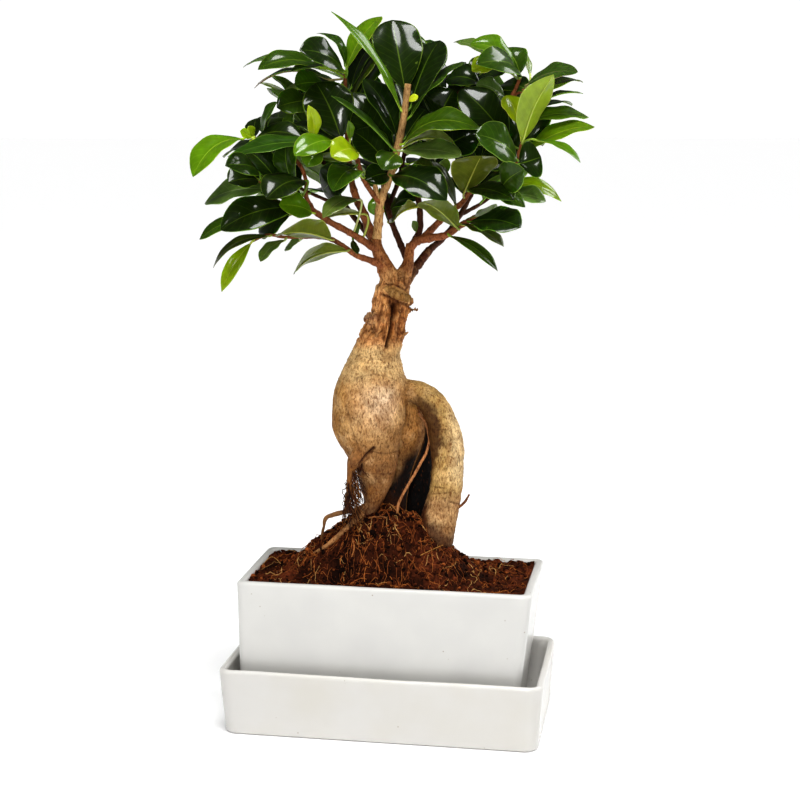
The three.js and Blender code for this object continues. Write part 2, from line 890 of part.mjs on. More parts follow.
function makeSoil(holes) {
  const cellsX = 20;
  const cellsY = 9;
  const low = potLow + pot.floor + seat;
  const top = new THREE.PlaneGeometry(pot.width, pot.depth, cellsX, cellsY);
  top.translate(potMiddle.atRim, 0, 0);
  const places = top.getAttribute("position");
  for (let i = 0; i < places.count; i++) {
    places.setZ(i, soilHeight(places.getX(i), places.getY(i)));
  }
  // The top's cells, their shadow at the bottom and the four sides close the heap.
  const at = (i) => new THREE.Vector3().fromBufferAttribute(places, i);
  const below = (i) => at(i).setZ(low - 1);
  const triangles = [];
  const index = top.getIndex().array;
  for (let i = 0; i < index.length; i += 3) {
    triangles.push([at(index[i]), at(index[i + 1]), at(index[i + 2])]);
    triangles.push([below(index[i]), below(index[i + 2]), below(index[i + 1])]);
  }
  const corner = (column, row) => row * (cellsX + 1) + column;
  const border = [];
  for (let column = 0; column < cellsX; column++) border.push(corner(column, cellsY));
  for (let row = cellsY; row > 0; row--) border.push(corner(cellsX, row));
  for (let column = cellsX; column > 0; column--) border.push(corner(column, 0));
  for (let row = 0; row < cellsY; row++) border.push(corner(0, row));
  border.forEach((here, place) => {
    const next = border[(place + 1) % border.length];
    triangles.push([at(here), below(here), below(next)], [at(here), below(next), at(next)]);
  });
  const heap = bodyOf(triangles);
  const narrow = (z) => 2 * potSlopeRise * (pot.rim - z) + 2 * pot.wall + 2 * seat;
  const filled = (z, width) =>
    roundedRing(
      pot.width - width,
      pot.depth - width,
      pot.corner - pot.wall / 2 + seat,
      z,
      potMiddleAt(Math.min(z, pot.rim)),
    );
  const inside = loft([
    filled(low, narrow(low) + 2 * softEdge),
    filled(low + softEdge, narrow(low + softEdge)),
    filled(pot.rim, narrow(pot.rim)),
    filled(2 * pot.rim, narrow(pot.rim)),
  ]);
  return heap.intersect(inside).subtract(holes);
}

// ---------------------------------------------------------------- trunk

function makeTrunk(grow = 0) {
  return joined(Object.values(trunkLimbs).map(({ stations, sides }) => limb(stations, sides, grow)));
}

// ---------------------------------------------------------------- leaves

// Numbers from 0 to 1, the same on each run.
function draws(seed) {
  let state = seed >>> 0;
  return () => {
    state = (state + 0x6d2b79f5) >>> 0;
    let mixed = Math.imul(state ^ (state >>> 15), 1 | state);
    mixed = (mixed + Math.imul(mixed ^ (mixed >>> 7), 61 | mixed)) ^ mixed;
    return ((mixed ^ (mixed >>> 14)) >>> 0) / 4294967296;
  };
}

// The triangles of a strip between two rows of points that run from left to right.
function stripBetween(back, front) {
  const triangles = [];
  let i = 0;
  let j = 0;
  while (i < back.length - 1 || j < front.length - 1) {
    const backNext = (i + 1) / Math.max(back.length - 1, 0.5);
    const frontNext = (j + 1) / Math.max(front.length - 1, 0.5);
    if (backNext <= frontNext) {
      triangles.push([back[i], back[i + 1], front[j]]);
      i += 1;
    } else {
      triangles.push([back[i], front[j + 1], front[j]]);
      j += 1;
    }
  }
  return triangles;
}

// A leaf: a stalk that widens from the middle of the twig to the foot, then a folded, arched blade to the
// tip whose upper side faces face. Its two faces are split into triangles alike.
function leafBody({ start, foot, tip, face, width, arch, rows }, grow = 0) {
  const length = tip.distanceTo(foot);
  const along = tip.clone().sub(foot).divideScalar(length);
  const upper = face.clone().addScaledVector(along, -face.dot(along)).normalize();
  const left = upper.clone().cross(along);
  const half = width / 2 + grow;
  // A row of points across the leaf, its upper and its under side.
  const row = (middle, direction, halfWidth, across, halfThickness, fold) => {
    const aside = left.clone().addScaledVector(direction, -left.dot(direction)).normalize();
    const rise = direction.clone().cross(aside);
    const sides = across === 1 ? [0] : across === 2 ? [1, -1] : [1, 0, -1];
    const line = sides.map((side) =>
      middle
        .clone()
        .addScaledVector(aside, side * halfWidth)
        .addScaledVector(upper, Math.abs(side) * fold * halfWidth),
    );
    return {
      top: line.map((point) => point.clone().addScaledVector(rise, halfThickness)),
      under: line.map((point) => point.clone().addScaledVector(rise, -halfThickness)),
    };
  };
  const thick = bladeThickness / 2 + grow;
  const stalkHalf = stalkRadius + grow;
  const stalkLine = foot.clone().sub(start);
  const leastCosine = 0.25; // a stalk that points further away from its blade's own line gets a peg
  const turnsBack = stalkLine.dot(along) < leastCosine * stalkLine.length();
  const root = turnsBack ? foot.clone().addScaledVector(along, -2 * stalkRadius) : start;
  const bend = foot.clone().sub(root).normalize().add(along).normalize();
  const made = [row(root, along, 0, 1, 0, 0), row(foot, bend, stalkHalf, 2, stalkHalf, 0)];
  for (const { along: share, half: halfShare, across } of rows) {
    const middle = foot
      .clone()
      .addScaledVector(along, length * share)
      .addScaledVector(upper, 4 * arch * length * share * (1 - share));
    made.push(row(middle, along, half * halfShare, across, thick, bladeFold));
  }
  made.push(row(tip, along, 0, 1, thick, 0));
  const triangles = [];
  const rightRim = [];
  const leftRim = [];
  made.slice(1).forEach((front, index) => {
    const behind = made[index];
    triangles.push(...stripBetween(behind.top, front.top));
    triangles.push(...stripBetween(behind.under, front.under).map(([a, b, c]) => [a, c, b]));
    const end = front.top.length - 1;
    rightRim.push([front.top[end], front.under[end]]);
    if (end > 0) leftRim.unshift([front.top[0], front.under[0]]);
  });
  const rim = [[root, root], ...rightRim, ...leftRim];
  rim.forEach(([top, under], place) => {
    const [nextTop, nextUnder] = rim[(place + 1) % rim.length];
    if (top !== under) triangles.push([top, under, nextUnder]);
    if (nextTop !== nextUnder) triangles.push([top, nextUnder, nextTop]);
  });
  const body = bodyOf(triangles);
  if (!turnsBack) return body;
  return body.add(pegBody(start, foot.clone().addScaledVector(along, stalkHalf), stalkHalf));
}

// A three-sided peg between two points, for a stalk that its blade turns back over.
function pegBody(start, end, radius) {
  const along = end.clone().sub(start).normalize();
  const aside = new THREE.Vector3(0.31, 0.22, 0.93).cross(along).normalize();
  const front = along.clone().cross(aside);
  const ring = (centre) =>
    [0, 1, 2].map((side) => {
      const angle = (2 * Math.PI * side) / 3;
      return centre
        .clone()
        .addScaledVector(aside, radius * Math.cos(angle))
        .addScaledVector(front, radius * Math.sin(angle));
    });
  return loft([ring(start), ring(end)]);
}

// The point of a stem's wood that a leaf's stalk grows from: near the foot, and behind it in line with the
// blade, whose direction in the picture is lineX, lineY.
function twigBehind(wood, footX, footY, lineX, lineY) {
  const stepsPerSpan = 6;
  const lineWeight = 1.6; // over 1: how much a near point counts beside one in line with the blade
  const lineLength = Math.hypot(lineX, lineY);
  let best = { cost: Infinity };
  for (const branch of wood) {
    for (let index = 1; index < branch.length; index++) {
      for (let step = 0; step < stepsPerSpan; step++) {
        const share = step / stepsPerSpan;
        const [x, y, depth] = [0, 1, 2].map(
          (i) => branch[index - 1][i] + share * (branch[index][i] - branch[index - 1][i]),
        );
        const distance = Math.hypot(footX - x, footY - y);
        const inLine = ((footX - x) * lineX + (footY - y) * lineY) / (lineLength * distance + 1e-6);
        const cost = (distance + 1) * (lineWeight - inLine);
        if (cost < best.cost) best = { cost, x, y, depth };
      }
    }
  }
  return best;
}

// Every place that a leaf seen from the front may take, the one that was read off the picture first. Its
// stalk comes from the wood that lies behind its foot, in line with the blade.
function* shownLeafPlaces(wood, [footX, footY, tipX, tipY, lean, width, roll, arch]) {
  const twig = twigBehind(wood, footX, footY, tipX - footX, tipY - footY);
  const start = seen(twig.x, twig.y, twig.depth);
  const angle = THREE.MathUtils.degToRad(roll);
  for (const footShift of footShifts) {
    for (const tipShift of tipShifts) {
      const foot = seen(footX, footY, twig.depth + footLean * lean + footShift);
      const tip = seen(tipX, tipY, twig.depth + lean + footShift + tipShift);
      const along = tip.clone().sub(foot).normalize();
      const toEye = towardsEye.clone().addScaledVector(along, -towardsEye.dot(along)).normalize();
      const rising = toEye.clone().cross(along);
      if (rising.z < 0) rising.negate();
      const face = toEye.multiplyScalar(Math.cos(angle)).addScaledVector(rising, Math.sin(angle));
      yield { start, foot, tip, face, width, arch, rows: bladeRows.shown };
    }
  }
}

// Every place that one leaf of a rosette may take: set off the branch at the golden angle, wide open low
// down and steeper towards the branch's end, its upper side turned up and along the branch.
function* rosetteLeafPlaces(branch, share, turn, draw) {
  const sizeDraw = draw();
  const openDraw = draw();
  const faceDraw = draw();
  const points = branch.map(([x, y, depth]) => seen(x, y, depth));
  const spans = points.slice(1).map((point, index) => point.distanceTo(points[index]));
  let rest = share * spans.reduce((sum, span) => sum + span, 0);
  let index = 0;
  while (index < spans.length - 1 && rest > spans[index]) {
    rest -= spans[index];
    index += 1;
  }
  const axis = points[index + 1].clone().sub(points[index]).normalize();
  const start = points[index].clone().addScaledVector(axis, rest);
  const aside = axis.clone().cross(towardsEye).normalize();
  const front = axis.clone().cross(aside);
  const { longest, shortest, widthShare, stalk, arch, closing, openSpread } = rosetteLeaf;
  const fullLength = longest - (longest - shortest) * sizeDraw;
  const open = THREE.MathUtils.degToRad(
    rosetteLeaf.open - closing * share + openSpread * (openDraw - 0.5),
  );
  for (const size of sizeSteps) {
    for (const step of turnSteps) {
      const length = size * fullLength;
      const angle = turn + THREE.MathUtils.degToRad(step);
      const along = axis
        .clone()
        .multiplyScalar(Math.cos(open))
        .addScaledVector(aside, Math.sin(open) * Math.cos(angle))
        .addScaledVector(front, Math.sin(open) * Math.sin(angle));
      const foot = start.clone().addScaledVector(along, stalk);
      const tip = foot.clone().addScaledVector(along, length);
      const face = axis.clone().multiplyScalar(0.5 + 0.6 * faceDraw).setZ(axis.z + 0.7);
      yield { start, foot, tip, face, width: widthShare * length, arch, rows: bladeRows.hidden };
    }
  }
}

function insideCrown(point) {
  const { x, y } = shownAt(point);
  let inside = false;
  crownOutline.forEach((here, index) => {
    const next = crownOutline[(index + 1) % crownOutline.length];
    const crosses = here.y > y !== next.y > y;
    if (crosses && x < here.x + ((y - here.y) * (next.x - here.x)) / (next.y - here.y)) inside = !inside;
  });
  return inside;
}

const boxesMeet = (a, b) => [0, 1, 2].every((i) => a.min[i] < b.max[i] && b.min[i] < a.max[i]);

// Whether a body crosses any of a list of { body, box }.
function crosses(body, others) {
  const box = body.boundingBox();
  return others.some((other) => boxesMeet(box, other.box) && !body.intersect(other.body).isEmpty());
}

const boxed = (body) => ({ body, box: body.boundingBox() });

// ---------------------------------------------------------------- stems with their leaves

// The wood of every stem, cut back by the clearance from the trunk and from the stems before it.
function makeWood(grownTrunk) {
  const woodSides = 5;
  const grown = [grownTrunk];
  const made = {};
  for (const [name, { wood }] of Object.entries(stems)) {
    let body = joined(wood.map((branch) => limb(branch, woodSides)));
    for (const earlier of grown) body = body.subtract(earlier);
    made[name] = wholeOf(body);
    grown.push(joined(wood.map((branch) => limb(branch, woodSides, seat))));
  }
  return made;
}

function makeStems(trunk, grownTrunk) {
  const names = Object.keys(stems);
  const trunkPiece = boxed(trunk);
  const pieces = Object.fromEntries(
    Object.entries(makeWood(grownTrunk)).map(([name, body]) => [name, [boxed(body)]]),
  );

  // Adds a leaf at the first place that is clear of every other stem and of its own stem's leaves. A leaf
  // that shows from the front may cross a leaf of its own stem where it has no clear place.
  const addLeaf = (name, places, mayCross) => {
    const others = names.filter((other) => other !== name).flatMap((other) => pieces[other]);
    const [, ...leaves] = pieces[name];
    let chosen = null;
    for (const place of places) {
      if (crosses(leafBody(place, clearance), [trunkPiece, ...others])) continue;
      const leaf = leafBody(place);
      const clear = !crosses(leaf, leaves);
      if (clear || mayCross) chosen ??= leaf;
      if (!clear) continue;
      chosen = leaf;
      break;
    }
    if (chosen) pieces[name].push(boxed(chosen));
  };

  for (const name of names) {
    const { wood, leaves } = stems[name];
    leaves.forEach((leaf) => addLeaf(name, shownLeafPlaces(wood, leaf), true));
  }
  names.forEach((name, order) => {
    const { wood, rosettes, depthLimit } = stems[name];
    const draw = draws(rosetteSeed + order);
    for (const [branch, from, to, count] of rosettes) {
      const firstTurn = 2 * Math.PI * draw();
      for (let i = 0; i < count; i++) {
        const share = from + ((to - from) * (i + 0.5)) / count;
        const places = [...rosetteLeafPlaces(wood[branch], share, firstTurn + i * goldenTurn, draw)];
        const fitting = places.filter(
          ({ foot, tip }) => insideCrown(tip) && insideCrown(foot) && tip.dot(towardsEye) < depthLimit,
        );
        addLeaf(name, fitting, false);
      }
    }
  });
  return names.map((name) => [name, wholeOf(joined(pieces[name].map(({ body }) => body)))]);
}

// ---------------------------------------------------------------- the object

const glaze = new THREE.MeshStandardMaterial({ color: 0xf4f3ef, roughness: 0.25, metalness: 0 });
const creamGlaze = new THREE.MeshStandardMaterial({ color: 0xf5f1ec, roughness: 0.28, metalness: 0 });
const earth = new THREE.MeshStandardMaterial({ color: 0x3d2014, roughness: 0.95, metalness: 0 });
const bark = new THREE.MeshStandardMaterial({ color: 0xb08d5f, roughness: 0.8, metalness: 0 });
const leafGreen = new THREE.MeshStandardMaterial({ color: 0x24461b, roughness: 0.35, metalness: 0 });

const trunk = makeTrunk();
const grownTrunk = makeTrunk(seat);

const vessel = new THREE.Group();
vessel.add(meshOf("saucer", makeSaucer(), creamGlaze));
vessel.add(meshOf("pot", makePot(), glaze));
vessel.add(meshOf("soil", makeSoil(grownTrunk), earth));

const tree = new THREE.Group();
tree.add(meshOf("trunk", trunk, bark));
for (const [name, body] of makeStems(trunk, grownTrunk)) {
  tree.add(meshOf("stem_" + name, body, leafGreen));
}

const bonsai = new THREE.Group();
bonsai.add(vessel, tree);

export default bonsai;
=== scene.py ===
"""A ginseng ficus bonsai in a white glazed pot on its saucer: the looks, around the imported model.

Lengths are in millimetres and become metres where a mesh is made. The tree is laid out in the
picture that the camera takes: a place is a pixel of that picture and how far in front of the tree's
middle plane it lies.
"""

import logging
import math
from collections.abc import Iterator, Sequence
from dataclasses import dataclass
from enum import Enum
from functools import cached_property

import bpy
import numpy as np
from bpy.types import ID, Material, Mesh, Node, NodeSocket, NodeTree, Object
from mathutils import Matrix, Vector, noise
from mathutils.kdtree import KDTree
from numpy.random import Generator


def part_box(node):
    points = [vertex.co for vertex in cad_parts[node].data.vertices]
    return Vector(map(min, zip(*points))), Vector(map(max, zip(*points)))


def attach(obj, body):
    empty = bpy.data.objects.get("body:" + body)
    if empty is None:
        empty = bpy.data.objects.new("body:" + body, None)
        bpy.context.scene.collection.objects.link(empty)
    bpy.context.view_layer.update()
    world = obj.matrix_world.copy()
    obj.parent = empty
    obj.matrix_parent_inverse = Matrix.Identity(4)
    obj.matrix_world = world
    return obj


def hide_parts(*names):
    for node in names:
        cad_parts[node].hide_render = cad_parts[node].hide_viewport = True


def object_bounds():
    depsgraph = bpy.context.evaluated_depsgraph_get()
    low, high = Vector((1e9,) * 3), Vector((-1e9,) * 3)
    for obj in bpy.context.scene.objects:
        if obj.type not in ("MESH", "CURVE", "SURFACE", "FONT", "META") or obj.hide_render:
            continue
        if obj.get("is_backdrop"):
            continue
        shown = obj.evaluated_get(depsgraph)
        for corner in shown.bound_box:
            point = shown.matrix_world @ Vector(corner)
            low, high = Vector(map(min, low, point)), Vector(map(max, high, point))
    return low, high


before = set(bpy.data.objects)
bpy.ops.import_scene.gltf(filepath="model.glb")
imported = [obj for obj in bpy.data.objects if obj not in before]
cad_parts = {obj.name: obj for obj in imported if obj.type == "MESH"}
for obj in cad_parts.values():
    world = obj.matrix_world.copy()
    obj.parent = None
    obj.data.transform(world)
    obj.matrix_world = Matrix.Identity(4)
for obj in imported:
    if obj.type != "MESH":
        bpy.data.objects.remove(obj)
PACKED_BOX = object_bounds()

log = logging.getLogger("bonsai")

MM = 0.001  # metres in a millimetre
GOLDEN_TURN = math.radians(137.5)
Array = np.ndarray
Faces = list[list[int]]
Rows = tuple[tuple[float, ...], ...]
Span = tuple[float, float]


# ------------------------------------------------------------------ numbers and noise


def unit(vector: Array) -> Array:
    """Returns the vectors of the last axis at length one."""
    return vector / np.maximum(np.linalg.norm(vector, axis=-1, keepdims=True), 1e-9)


def smooth_step(low: float, high: float, value: Array) -> Array:
    """Returns 0 at low and 1 at high with a soft passage between, also where high is under low."""
    share = np.clip((value - low) / (high - low), 0.0, 1.0)
    return share * share * (3.0 - 2.0 * share)


def hill(x: Array, y: Array, centre_x: float, centre_y: float, reach_x: float, reach_y: float) -> Array:
    """Returns 1 at a centre, falling off with the distance from it along x and y."""
    return np.exp(-(((x - centre_x) / reach_x) ** 2) - ((y - centre_y) / reach_y) ** 2)


def linear(hex_colour: str) -> Array:
    """Turns an sRGB hex colour into linear red, green, blue and an alpha of one."""
    parts = [int(hex_colour[i : i + 2], 16) / 255 for i in (1, 3, 5)]
    bright = [part / 12.92 if part <= 0.04045 else ((part + 0.055) / 1.055) ** 2.4 for part in parts]
    return np.array([*bright, 1.0])


def rough(points: Array, size: float | Sequence[float], octaves: int = 3, seed: float = 0.0) -> Array:
    """Evaluates fractal noise at points.

    Args:
        points: the places in mm, one a row.
        size: the size in mm of the largest lumps, or one size for each axis.
        octaves: how many finer layers are added.
        seed: shifts the pattern.

    Returns:
        One value a point, about -1 to 1.
    """
    scaled = points / np.asarray(size, float) + seed * 17.31
    return np.array([noise.fractal(Vector(place), 0.9, 2.1, octaves) for place in scaled])


def rough_moves(points: Array, size: float, seeds: Sequence[float]) -> Array:
    """Returns a vector of noise for each point, with a seed for each axis."""
    return np.stack([rough(points, size, 2, seed) for seed in seeds], axis=-1)


def shaded(hex_colour: str, shade: Array) -> Array:
    """Returns a colour for each point, lightened or darkened by its shade."""
    tint = linear(hex_colour) * shade[:, None]
    tint[:, 3] = 1.0
    return tint


def draws(seed: int) -> Iterator[float]:
    """Yields numbers from 0 to 1, the same on each run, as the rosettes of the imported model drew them."""
    mask = 0xFFFFFFFF
    state = seed & mask
    while True:
        state = (state + 0x6D2B79F5) & mask
        mixed = ((state ^ (state >> 15)) * (1 | state)) & mask
        mixed = ((mixed + (mixed ^ (mixed >> 7)) * (61 | mixed)) & mask) ^ mixed
        yield (mixed ^ (mixed >> 14)) / 2.0**32


# ------------------------------------------------------------------ the view


@dataclass(frozen=True)
class PictureView:
    """The eye that the tree is laid out before, which is the camera too."""

    eye: tuple[float, float, float] = (158.0, -889.8, 343.5)
    turn: float = -9.76  # degrees, from +Y towards +X
    tilt: float = 10.32  # degrees, downwards
    focal_pixels: float = 1700.0
    picture_pixels: float = 800.0
    sensor: float = 36.0

    @cached_property
    def level(self) -> Array:
        """The level direction that the eye looks in."""
        return np.array([math.sin(math.radians(self.turn)), math.cos(math.radians(self.turn)), 0.0])

    @cached_property
    def to_eye(self) -> Array:
        """The level direction from the tree to the eye."""
        return -self.level

    @cached_property
    def across(self) -> Array:
        """The direction that runs to the right in the picture."""
        return np.array([self.level[1], -self.level[0], 0.0])

    @cached_property
    def ahead(self) -> Array:
        """The direction of the picture's middle."""
        tilt = math.radians(self.tilt)
        return self.level * math.cos(tilt) - np.array([0.0, 0.0, math.sin(tilt)])

    @cached_property
    def up(self) -> Array:
        """The direction that runs up in the picture."""
        return np.cross(self.across, self.ahead)

    def seen(self, places: Sequence) -> Array:
        """Returns points in mm for rows of pixel x, pixel y and depth in front of the middle plane."""
        rows = np.asarray(places, float)
        half = self.picture_pixels / 2
        ray = self.ahead * self.focal_pixels
        ray = ray + self.across * (rows[..., 0:1] - half) + self.up * (half - rows[..., 1:2])
        eye = np.array(self.eye)
        reach = (-eye @ self.level - rows[..., 2]) / (ray @ self.level)
        return eye + ray * reach[..., None]

    def shown(self, points: Array) -> Array:
        """Returns rows of pixel x, pixel y and depth for points in mm."""
        rays = np.asarray(points) - np.array(self.eye)
        scale = self.focal_pixels / (rays @ self.ahead)
        half = self.picture_pixels / 2
        place_x = half + scale * (rays @ self.across)
        place_y = half - scale * (rays @ self.up)
        return np.stack([place_x, place_y, np.asarray(points) @ self.to_eye], axis=-1)

    def make_camera(self) -> None:
        """Stands the camera at the eye and makes it the scene's."""
        lens = bpy.data.cameras.new("picture_camera")
        lens.sensor_width = self.sensor
        lens.lens = self.focal_pixels / self.picture_pixels * self.sensor
        lens.clip_start, lens.clip_end = 0.01, 60.0
        camera = stand("picture_camera", lens)
        axes = Matrix([self.across, self.up, -self.ahead]).transposed()
        camera.matrix_world = Matrix.Translation(Vector(self.eye) * MM) @ axes.to_4x4()
        bpy.context.scene.camera = camera


VIEW = PictureView()


# ------------------------------------------------------------------ meshes


def stand(name: str, data: ID) -> Object:
    """Puts a new object that shows a mesh, a light or a camera in the scene."""
    made = bpy.data.objects.new(name, data)
    bpy.context.scene.collection.objects.link(made)
    return made


class Patchwork:
    """Points, faces and marks on points that one piece is sewn together from."""

    def __init__(self) -> None:
        """Starts with nothing."""
        self.points: list[Array] = []
        self.faces: Faces = []
        self.marks: dict[str, list[Array]] = {}
        self.count = 0

    def add(self, points: Array, faces: Sequence[Sequence[int]], **marks: Array | Sequence[float]) -> None:
        """Adds a patch.

        Args:
            points: its points in mm.
            faces: lists of indices into those points.
            **marks: a value of three or four numbers for the patch, or one for each point.
        """
        for face in faces:
            self.faces.append([self.count + int(index) for index in face])
        for name, value in marks.items():
            rows = np.asarray(value, float)
            spread = np.broadcast_to(rows, (len(points), rows.shape[-1]))
            self.marks.setdefault(name, []).append(spread)
        self.points.append(points)
        self.count += len(points)

    def piece(self, name: str, material: Material) -> Object:
        """Makes the smooth-shaded object with its material."""
        mesh = bpy.data.meshes.new(name)
        mesh.from_pydata((np.concatenate(self.points) * MM).tolist(), [], self.faces)
        mesh.polygons.foreach_set("use_smooth", np.ones(len(self.faces), bool))
        for mark, rows in self.marks.items():
            set_mark(mesh, mark, np.concatenate(rows))
        mesh.materials.append(material)
        return stand(name, mesh)


def set_mark(mesh: Mesh, name: str, rows: Array) -> None:
    """Writes a point attribute: a colour where the rows hold four numbers, else a vector."""
    if rows.shape[-1] == 4:
        mesh.attributes.new(name, "FLOAT_COLOR", "POINT").data.foreach_set("color", rows.ravel())
    else:
        mesh.attributes.new(name, "FLOAT_VECTOR", "POINT").data.foreach_set("vector", rows.ravel())


def settle(piece: Object, slot: str, *nodes: str) -> None:
    """Lets a piece ride on the object's one body and hides the imported nodes it stands for."""
    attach(piece, "root")
    if nodes:
        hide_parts(*nodes)
    log.info("%s: %d faces", piece.name, len(piece.data.polygons))


def swept(path: Array, half_width: Array, half_depth: Array, sides: int) -> tuple[Array, Faces]:
    """Sweeps an oval along a path.

    Args:
        path: the centres in mm.
        half_width: at each centre, the oval's half width across the view.
        half_depth: at each centre, its half depth along the view.
        sides: how many points run round it.

    Returns:
        The points and the faces of a closed body.
    """
    along = unit(np.gradient(path, axis=0))
    turns = np.linspace(0.0, 2 * math.pi, sides, endpoint=False)
    aside = np.cross(VIEW.to_eye, along[0])
    if np.linalg.norm(aside) < 0.1:
        aside = np.cross(VIEW.up, along[0])
    rings = []
    for centre, direction, width, depth in zip(path, along, half_width, half_depth):
        aside = unit(aside - direction * (aside @ direction))
        front = np.cross(direction, aside)
        rings.append(centre + np.outer(np.cos(turns) * width, aside) + np.outer(np.sin(turns) * depth, front))
    return np.concatenate(rings), tube_faces(len(path), sides)


def grid_faces(index: Array) -> Faces:
    """Returns the four-sided faces of a grid of point numbers."""
    corners = (index[:-1, :-1], index[1:, :-1], index[1:, 1:], index[:-1, 1:])
    return np.stack(corners, axis=-1).reshape(-1, 4).tolist()


def tube_faces(rings: int, sides: int) -> Faces:
    """Returns the faces of a closed tube of rings with the same number of sides."""
    index = np.arange(rings * sides).reshape(rings, sides)
    walls = grid_faces(np.column_stack([index, index[:, 0]]).T)
    return [*walls, index[0, ::-1].tolist(), index[-1].tolist()]


def smooth_rows(rows: Sequence[Sequence[float]], per_span: int) -> Array:
    """Runs a smooth curve through rows of numbers, with per_span steps from each to the next."""
    given = np.asarray(rows, float)
    wide = np.concatenate([2 * given[:1] - given[1:2], given, 2 * given[-1:] - given[-2:-1]])
    share = np.linspace(0.0, 1.0, per_span, endpoint=False)[:, None]
    spans = []
    for i in range(1, len(wide) - 2):
        before, here, after, beyond = wide[i - 1 : i + 3]
        linear_part = (after - before) * share
        square = (2 * before - 5 * here + 4 * after - beyond) * share**2
        cube = (3 * here - before - 3 * after + beyond) * share**3
        spans.append(here + 0.5 * (linear_part + square + cube))
    return np.concatenate([*spans, given[-1:]])


def reshaped(piece: Object, **modifiers: dict) -> None:
    """Applies modifiers to a piece in the order given, each named by its type with its settings."""
    for kind, settings in modifiers.items():
        modifier = piece.modifiers.new(kind.lower(), kind)
        for name, value in settings.items():
            setattr(modifier, name, value)
    evaluated = piece.evaluated_get(bpy.context.evaluated_depsgraph_get())
    fresh = bpy.data.meshes.new_from_object(evaluated)
    piece.modifiers.clear()
    piece.data = fresh
    fresh.polygons.foreach_set("use_smooth", np.ones(len(fresh.polygons), bool))


def per_point(mesh: Mesh, name: str) -> Array:
    """Reads a vector of each point of a mesh: co is its place in metres, normal is where it faces."""
    flat = np.empty(len(mesh.vertices) * 3, np.float32)
    mesh.vertices.foreach_get(name, flat)
    return flat.reshape(-1, 3).astype(float)


def move_points(mesh: Mesh, points: Array) -> None:
    """Sets a mesh's points from mm."""
    mesh.vertices.foreach_set("co", (points * MM).ravel())
    mesh.update()


# ------------------------------------------------------------------ finishes


def add_node(tree: NodeTree, kind: str, inputs: dict | Sequence = (), **settings: object) -> Node:
    """Adds a shader node.

    Args:
        tree: the material's or the world's node tree.
        kind: the node's type without its ShaderNode.
        inputs: what the sockets get, under their names or in the order that the node shows them: a
            constant, an output, or a node, which stands for the first output it shows.
        **settings: the node's own settings.

    Returns:
        The node.
    """
    node = tree.nodes.new("ShaderNode" + kind)
    for name, value in settings.items():
        setattr(node, name, value)
    if isinstance(inputs, dict):
        pairs = [(node.inputs[name], value) for name, value in inputs.items()]
    else:
        pairs = zip([socket for socket in node.inputs if socket.enabled], inputs)
    for socket, value in pairs:
        if isinstance(value, Node):
            value = next(output for output in value.outputs if output.enabled)
        if isinstance(value, NodeSocket):
            tree.links.new(value, socket)
        else:
            socket.default_value = value
    return node


def per_mm(size: float) -> float:
    """Returns the scale of a pattern whose repeats are size mm apart, for coordinates in metres."""
    return 1.0 / (size * MM)


class Finish:
    """What all finishes share: each kind makes the shader of its own surface."""

    name: str

    def surface(self, tree: NodeTree) -> Node:
        """Makes the shader node."""
        raise NotImplementedError

    def build(self) -> Material:
        """Makes the material."""
        material = bpy.data.materials.new(self.name)
        material.use_nodes = True
        tree = material.node_tree
        tree.nodes.clear()
        add_node(tree, "OutputMaterial", [self.surface(tree)])
        return material


@dataclass(frozen=True)
class GlazedEarthenware(Finish):
    """Slip-cast earthenware under a poured white tin glaze, fired glossy.

    The glaze lies in shallow waves of about a thumb's width, and a few specks of iron from the clay have
    burnt through it. That makes its reflections soft and a little uneven, which tells it from plastic.
    """

    name: str
    colour: str
    pooled: str  # where the glaze has run together
    wave: float = 26.0  # mm between the waves left by pouring
    wave_height: float = 1.6  # mm
    speck_gap: float = 9.0  # mm between iron specks in the clay, most of which stay below the glaze
    iron: str = "#8c7c68"

    def surface(self, tree: NodeTree) -> Node:
        """Makes the wavy white glaze with its specks."""
        place = add_node(tree, "TexCoord").outputs["Object"]
        waves = add_node(tree, "TexNoise", {"Vector": place, "Scale": per_mm(self.wave), "Detail": 2.0})
        share = add_node(tree, "MapRange", [waves, 0.35, 0.75])
        glaze = add_node(tree, "Mix", [share, linear(self.colour), linear(self.pooled)], data_type="RGBA")
        clay = add_node(tree, "TexVoronoi", {"Vector": place, "Scale": per_mm(self.speck_gap)})
        speck = add_node(tree, "MapRange", [clay, 0.025, 0.055, 0.7, 0.0])
        colour = add_node(tree, "Mix", [speck, glaze, linear(self.iron)], data_type="RGBA")
        gloss = add_node(tree, "MapRange", [waves, 0.0, 1.0, 0.16, 0.26])
        swell = add_node(tree, "Bump", {"Height": waves, "Strength": 0.35, "Distance": self.wave_height * MM})
        shader = {"Base Color": colour, "Roughness": gloss, "IOR": 1.5, "Normal": swell}
        return add_node(tree, "BsdfPrincipled", shader)


